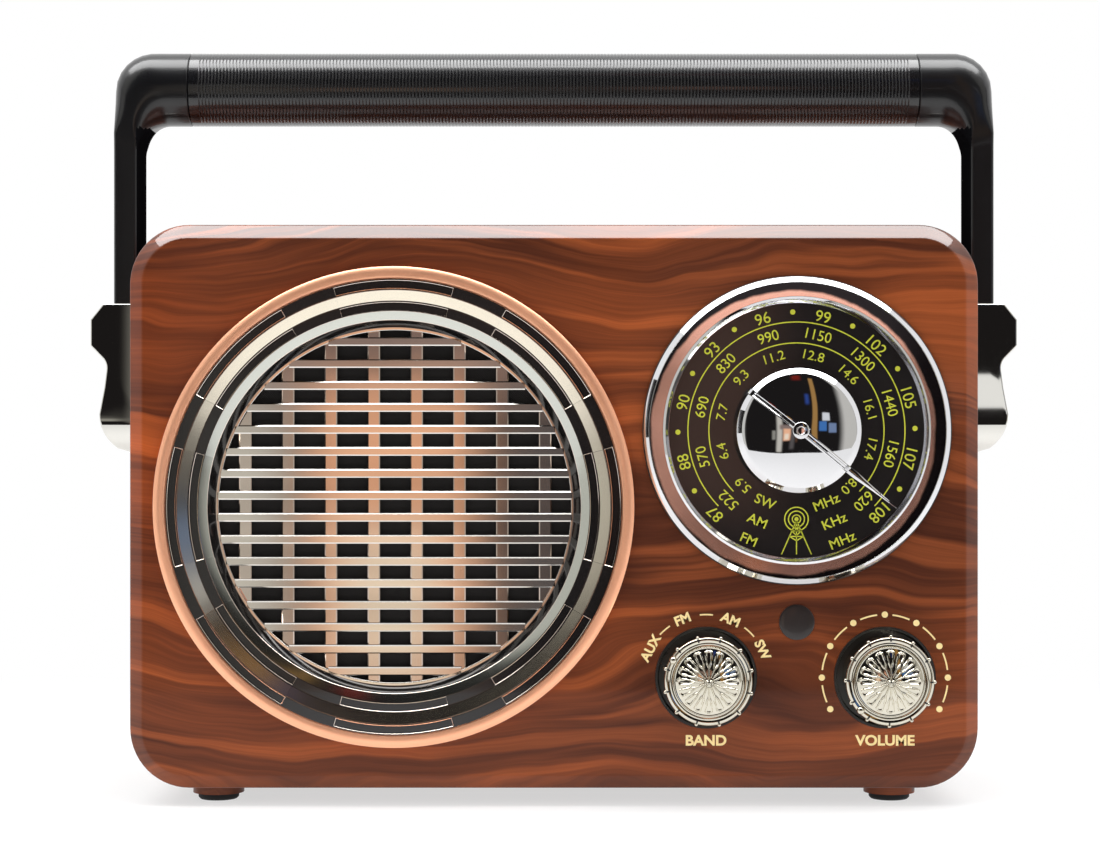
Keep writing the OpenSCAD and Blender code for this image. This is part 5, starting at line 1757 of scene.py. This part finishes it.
def floor_material():
    """Pale floor whose near edge ends in mirror views."""
    near_edge = -0.355
    material, tree, shader, here = new_material("radio_studio_floor")
    varied(tree, shader, here, srgb(244, 244, 244), 0.6, 0.05, 0.01, 4.0, 200.0)
    path = tree.nodes.new("ShaderNodeLightPath").outputs
    x, y, _ = split(tree, here)
    flat = combined(tree, X=maths(tree, "MULTIPLY", x, 0.6), Y=y)
    far = ramp(tree, vectors(tree, "LENGTH", flat), 0.05, 0.35, 0.62, 1.0)
    white = add(tree, "ShaderNodeEmission", {"Color": (1, 1, 1, 1), "Strength": 1.0})
    shown = add(tree, "ShaderNodeMixShader",
                {0: maths(tree, "MULTIPLY", seen_directly(tree, path), far),
                 1: shader.outputs[0], 2: white.outputs[0]})
    near = maths(tree, "MULTIPLY", maths(tree, "LESS_THAN", y, near_edge), path["Is Glossy Ray"])
    clear = tree.nodes.new("ShaderNodeBsdfTransparent")
    show(tree, add(tree, "ShaderNodeMixShader", {0: near, 1: shown.outputs[0],
                                                 2: clear.outputs[0]}).outputs[0])
    return material


def staged(name, data):
    """An object that isn't part of the radio."""
    made = scene_object(name, data)
    return made


def area_light(name, place, target, width, depth, power):
    """A soft rectangular light aimed at a point."""
    data = bpy.data.lights.new(name, "AREA")
    data.shape, data.size, data.size_y, data.energy = "RECTANGLE", width, depth, power
    lamp = staged(name, data)
    lamp.location = place
    lamp.rotation_euler = (Vector(target) - Vector(place)).to_track_quat("-Z", "Y").to_euler()
    return lamp


class RADIO_OT_stage(bpy.types.Operator):
    """Pale floor, soft light, room for the reflections, and the camera"""

    bl_idname = "radio.stage"
    bl_label = "Floor, light and camera"

    def execute(self, context):
        look, scene = context.scene.radio_stage, context.scene
        scene.view_settings.view_transform = "Standard"
        if look.show_floor:
            far = 8.0
            floor = bpy.data.meshes.new("floor")
            floor.from_pydata([(-far, -far, 0), (far, -far, 0), (far, far, 0), (-far, far, 0)],
                              [], [(0, 1, 2, 3)])
            floor.materials.append(floor_material())
            staged("floor", floor)
        room_radius, open_behind = 2.2, -0.25
        points, faces, _ = lathe(arc(0, 0, room_radius, -60, 60, 24), 96, closed=False)
        room = bpy.data.meshes.new("room")
        room.from_pydata(points, [], faces)
        work = bmesh.new()
        work.from_mesh(room)
        behind = [v for v in work.verts if v.co.y > open_behind]
        bmesh.ops.delete(work, geom=behind, context="VERTS")
        work.to_mesh(room)
        work.free()
        room.materials.append(room_material())
        wall = staged("room", room)
        wall.visible_camera = wall.visible_diffuse = wall.visible_shadow = False
        wall.visible_transmission = False
        area_light("overhead", (0, -0.1, 1.35), (0, -0.1, 0), 2.4, 0.72, look.key_power)
        for name, place, share in (("left", (-1.3, -1.0, 0.9), 0.13),
                                   ("right", (1.3, -0.9, 0.8), 0.08)):
            lamp = area_light(name, place, (0, 0, 0.1), 0.9, 0.9, look.key_power * share)
            lamp.visible_glossy = False
        world = bpy.data.worlds.new("studio")
        scene.world = world
        world.use_nodes = True
        tree = world.node_tree
        path = tree.nodes.new("ShaderNodeLightPath").outputs
        level = maths(tree, "MULTIPLY_ADD", seen_directly(tree, path), 1.0 - look.room_level,
                      look.room_level)
        shell = tree.nodes["Background"]
        shell.inputs["Color"].default_value = (1, 1, 1, 1)
        tree.links.new(level, shell.inputs["Strength"])
        data = bpy.data.cameras.new("camera")
        data.lens, data.sensor_width = look.lens, 36.0
        data.clip_start, data.clip_end = 0.01, 50.0
        camera = scene_object("camera", data)
        camera.location = EYE
        camera.rotation_euler = (math.radians(90), 0, 0)
        scene.camera = camera
        return {"FINISHED"}


# ---------------------------------------------------------------- panel and main


OPERATORS = (
    RADIO_OT_cabinet, RADIO_OT_feet, RADIO_OT_screws, RADIO_OT_trim_ring, RADIO_OT_bezel,
    RADIO_OT_grille, RADIO_OT_dial, RADIO_OT_dial_print, RADIO_OT_tuning_knob,
    RADIO_OT_pointer, RADIO_OT_wells, RADIO_OT_small_knobs, RADIO_OT_panel_print,
    RADIO_OT_lens, RADIO_OT_handle, RADIO_OT_brackets, RADIO_OT_antenna,
    RADIO_OT_battery_door, RADIO_OT_sockets, RADIO_OT_inner_parts, RADIO_OT_stage)

SETTINGS = (
    ("radio_cabinet", RadioCabinetSettings), ("radio_speaker", RadioSpeakerSettings),
    ("radio_dial", RadioDialSettings), ("radio_knobs", RadioKnobSettings),
    ("radio_handle", RadioHandleSettings), ("radio_stage", RadioStageSettings))


class RADIO_PT_panel(bpy.types.Panel):
    bl_label = "Tabletop radio"
    bl_idname = "RADIO_PT_panel"
    bl_space_type = "VIEW_3D"
    bl_region_type = "UI"
    bl_category = "Radio"

    def draw(self, context):
        for attribute, group in SETTINGS:
            box = self.layout.box()
            for name in group.__annotations__:
                box.prop(getattr(context.scene, attribute), name)
        for operator in OPERATORS:
            self.layout.operator(operator.bl_idname)


def register():
    for _, group in SETTINGS:
        bpy.utils.register_class(group)
    for operator in OPERATORS:
        bpy.utils.register_class(operator)
    bpy.utils.register_class(RADIO_PT_panel)
    for attribute, group in SETTINGS:
        setattr(bpy.types.Scene, attribute, PointerProperty(type=group))


def unregister():
    for attribute, _ in SETTINGS:
        delattr(bpy.types.Scene, attribute)
    bpy.utils.unregister_class(RADIO_PT_panel)
    for operator in reversed(OPERATORS):
        bpy.utils.unregister_class(operator)
    for _, group in reversed(SETTINGS):
        bpy.utils.unregister_class(group)


def main():
    register()
    for operator in OPERATORS:
        group, name = operator.bl_idname.split(".")
        if getattr(getattr(bpy.ops, group), name)() != {"FINISHED"}:
            raise RuntimeError(operator.bl_label + " wasn't finished")


if __name__ == "__main__":
    main()
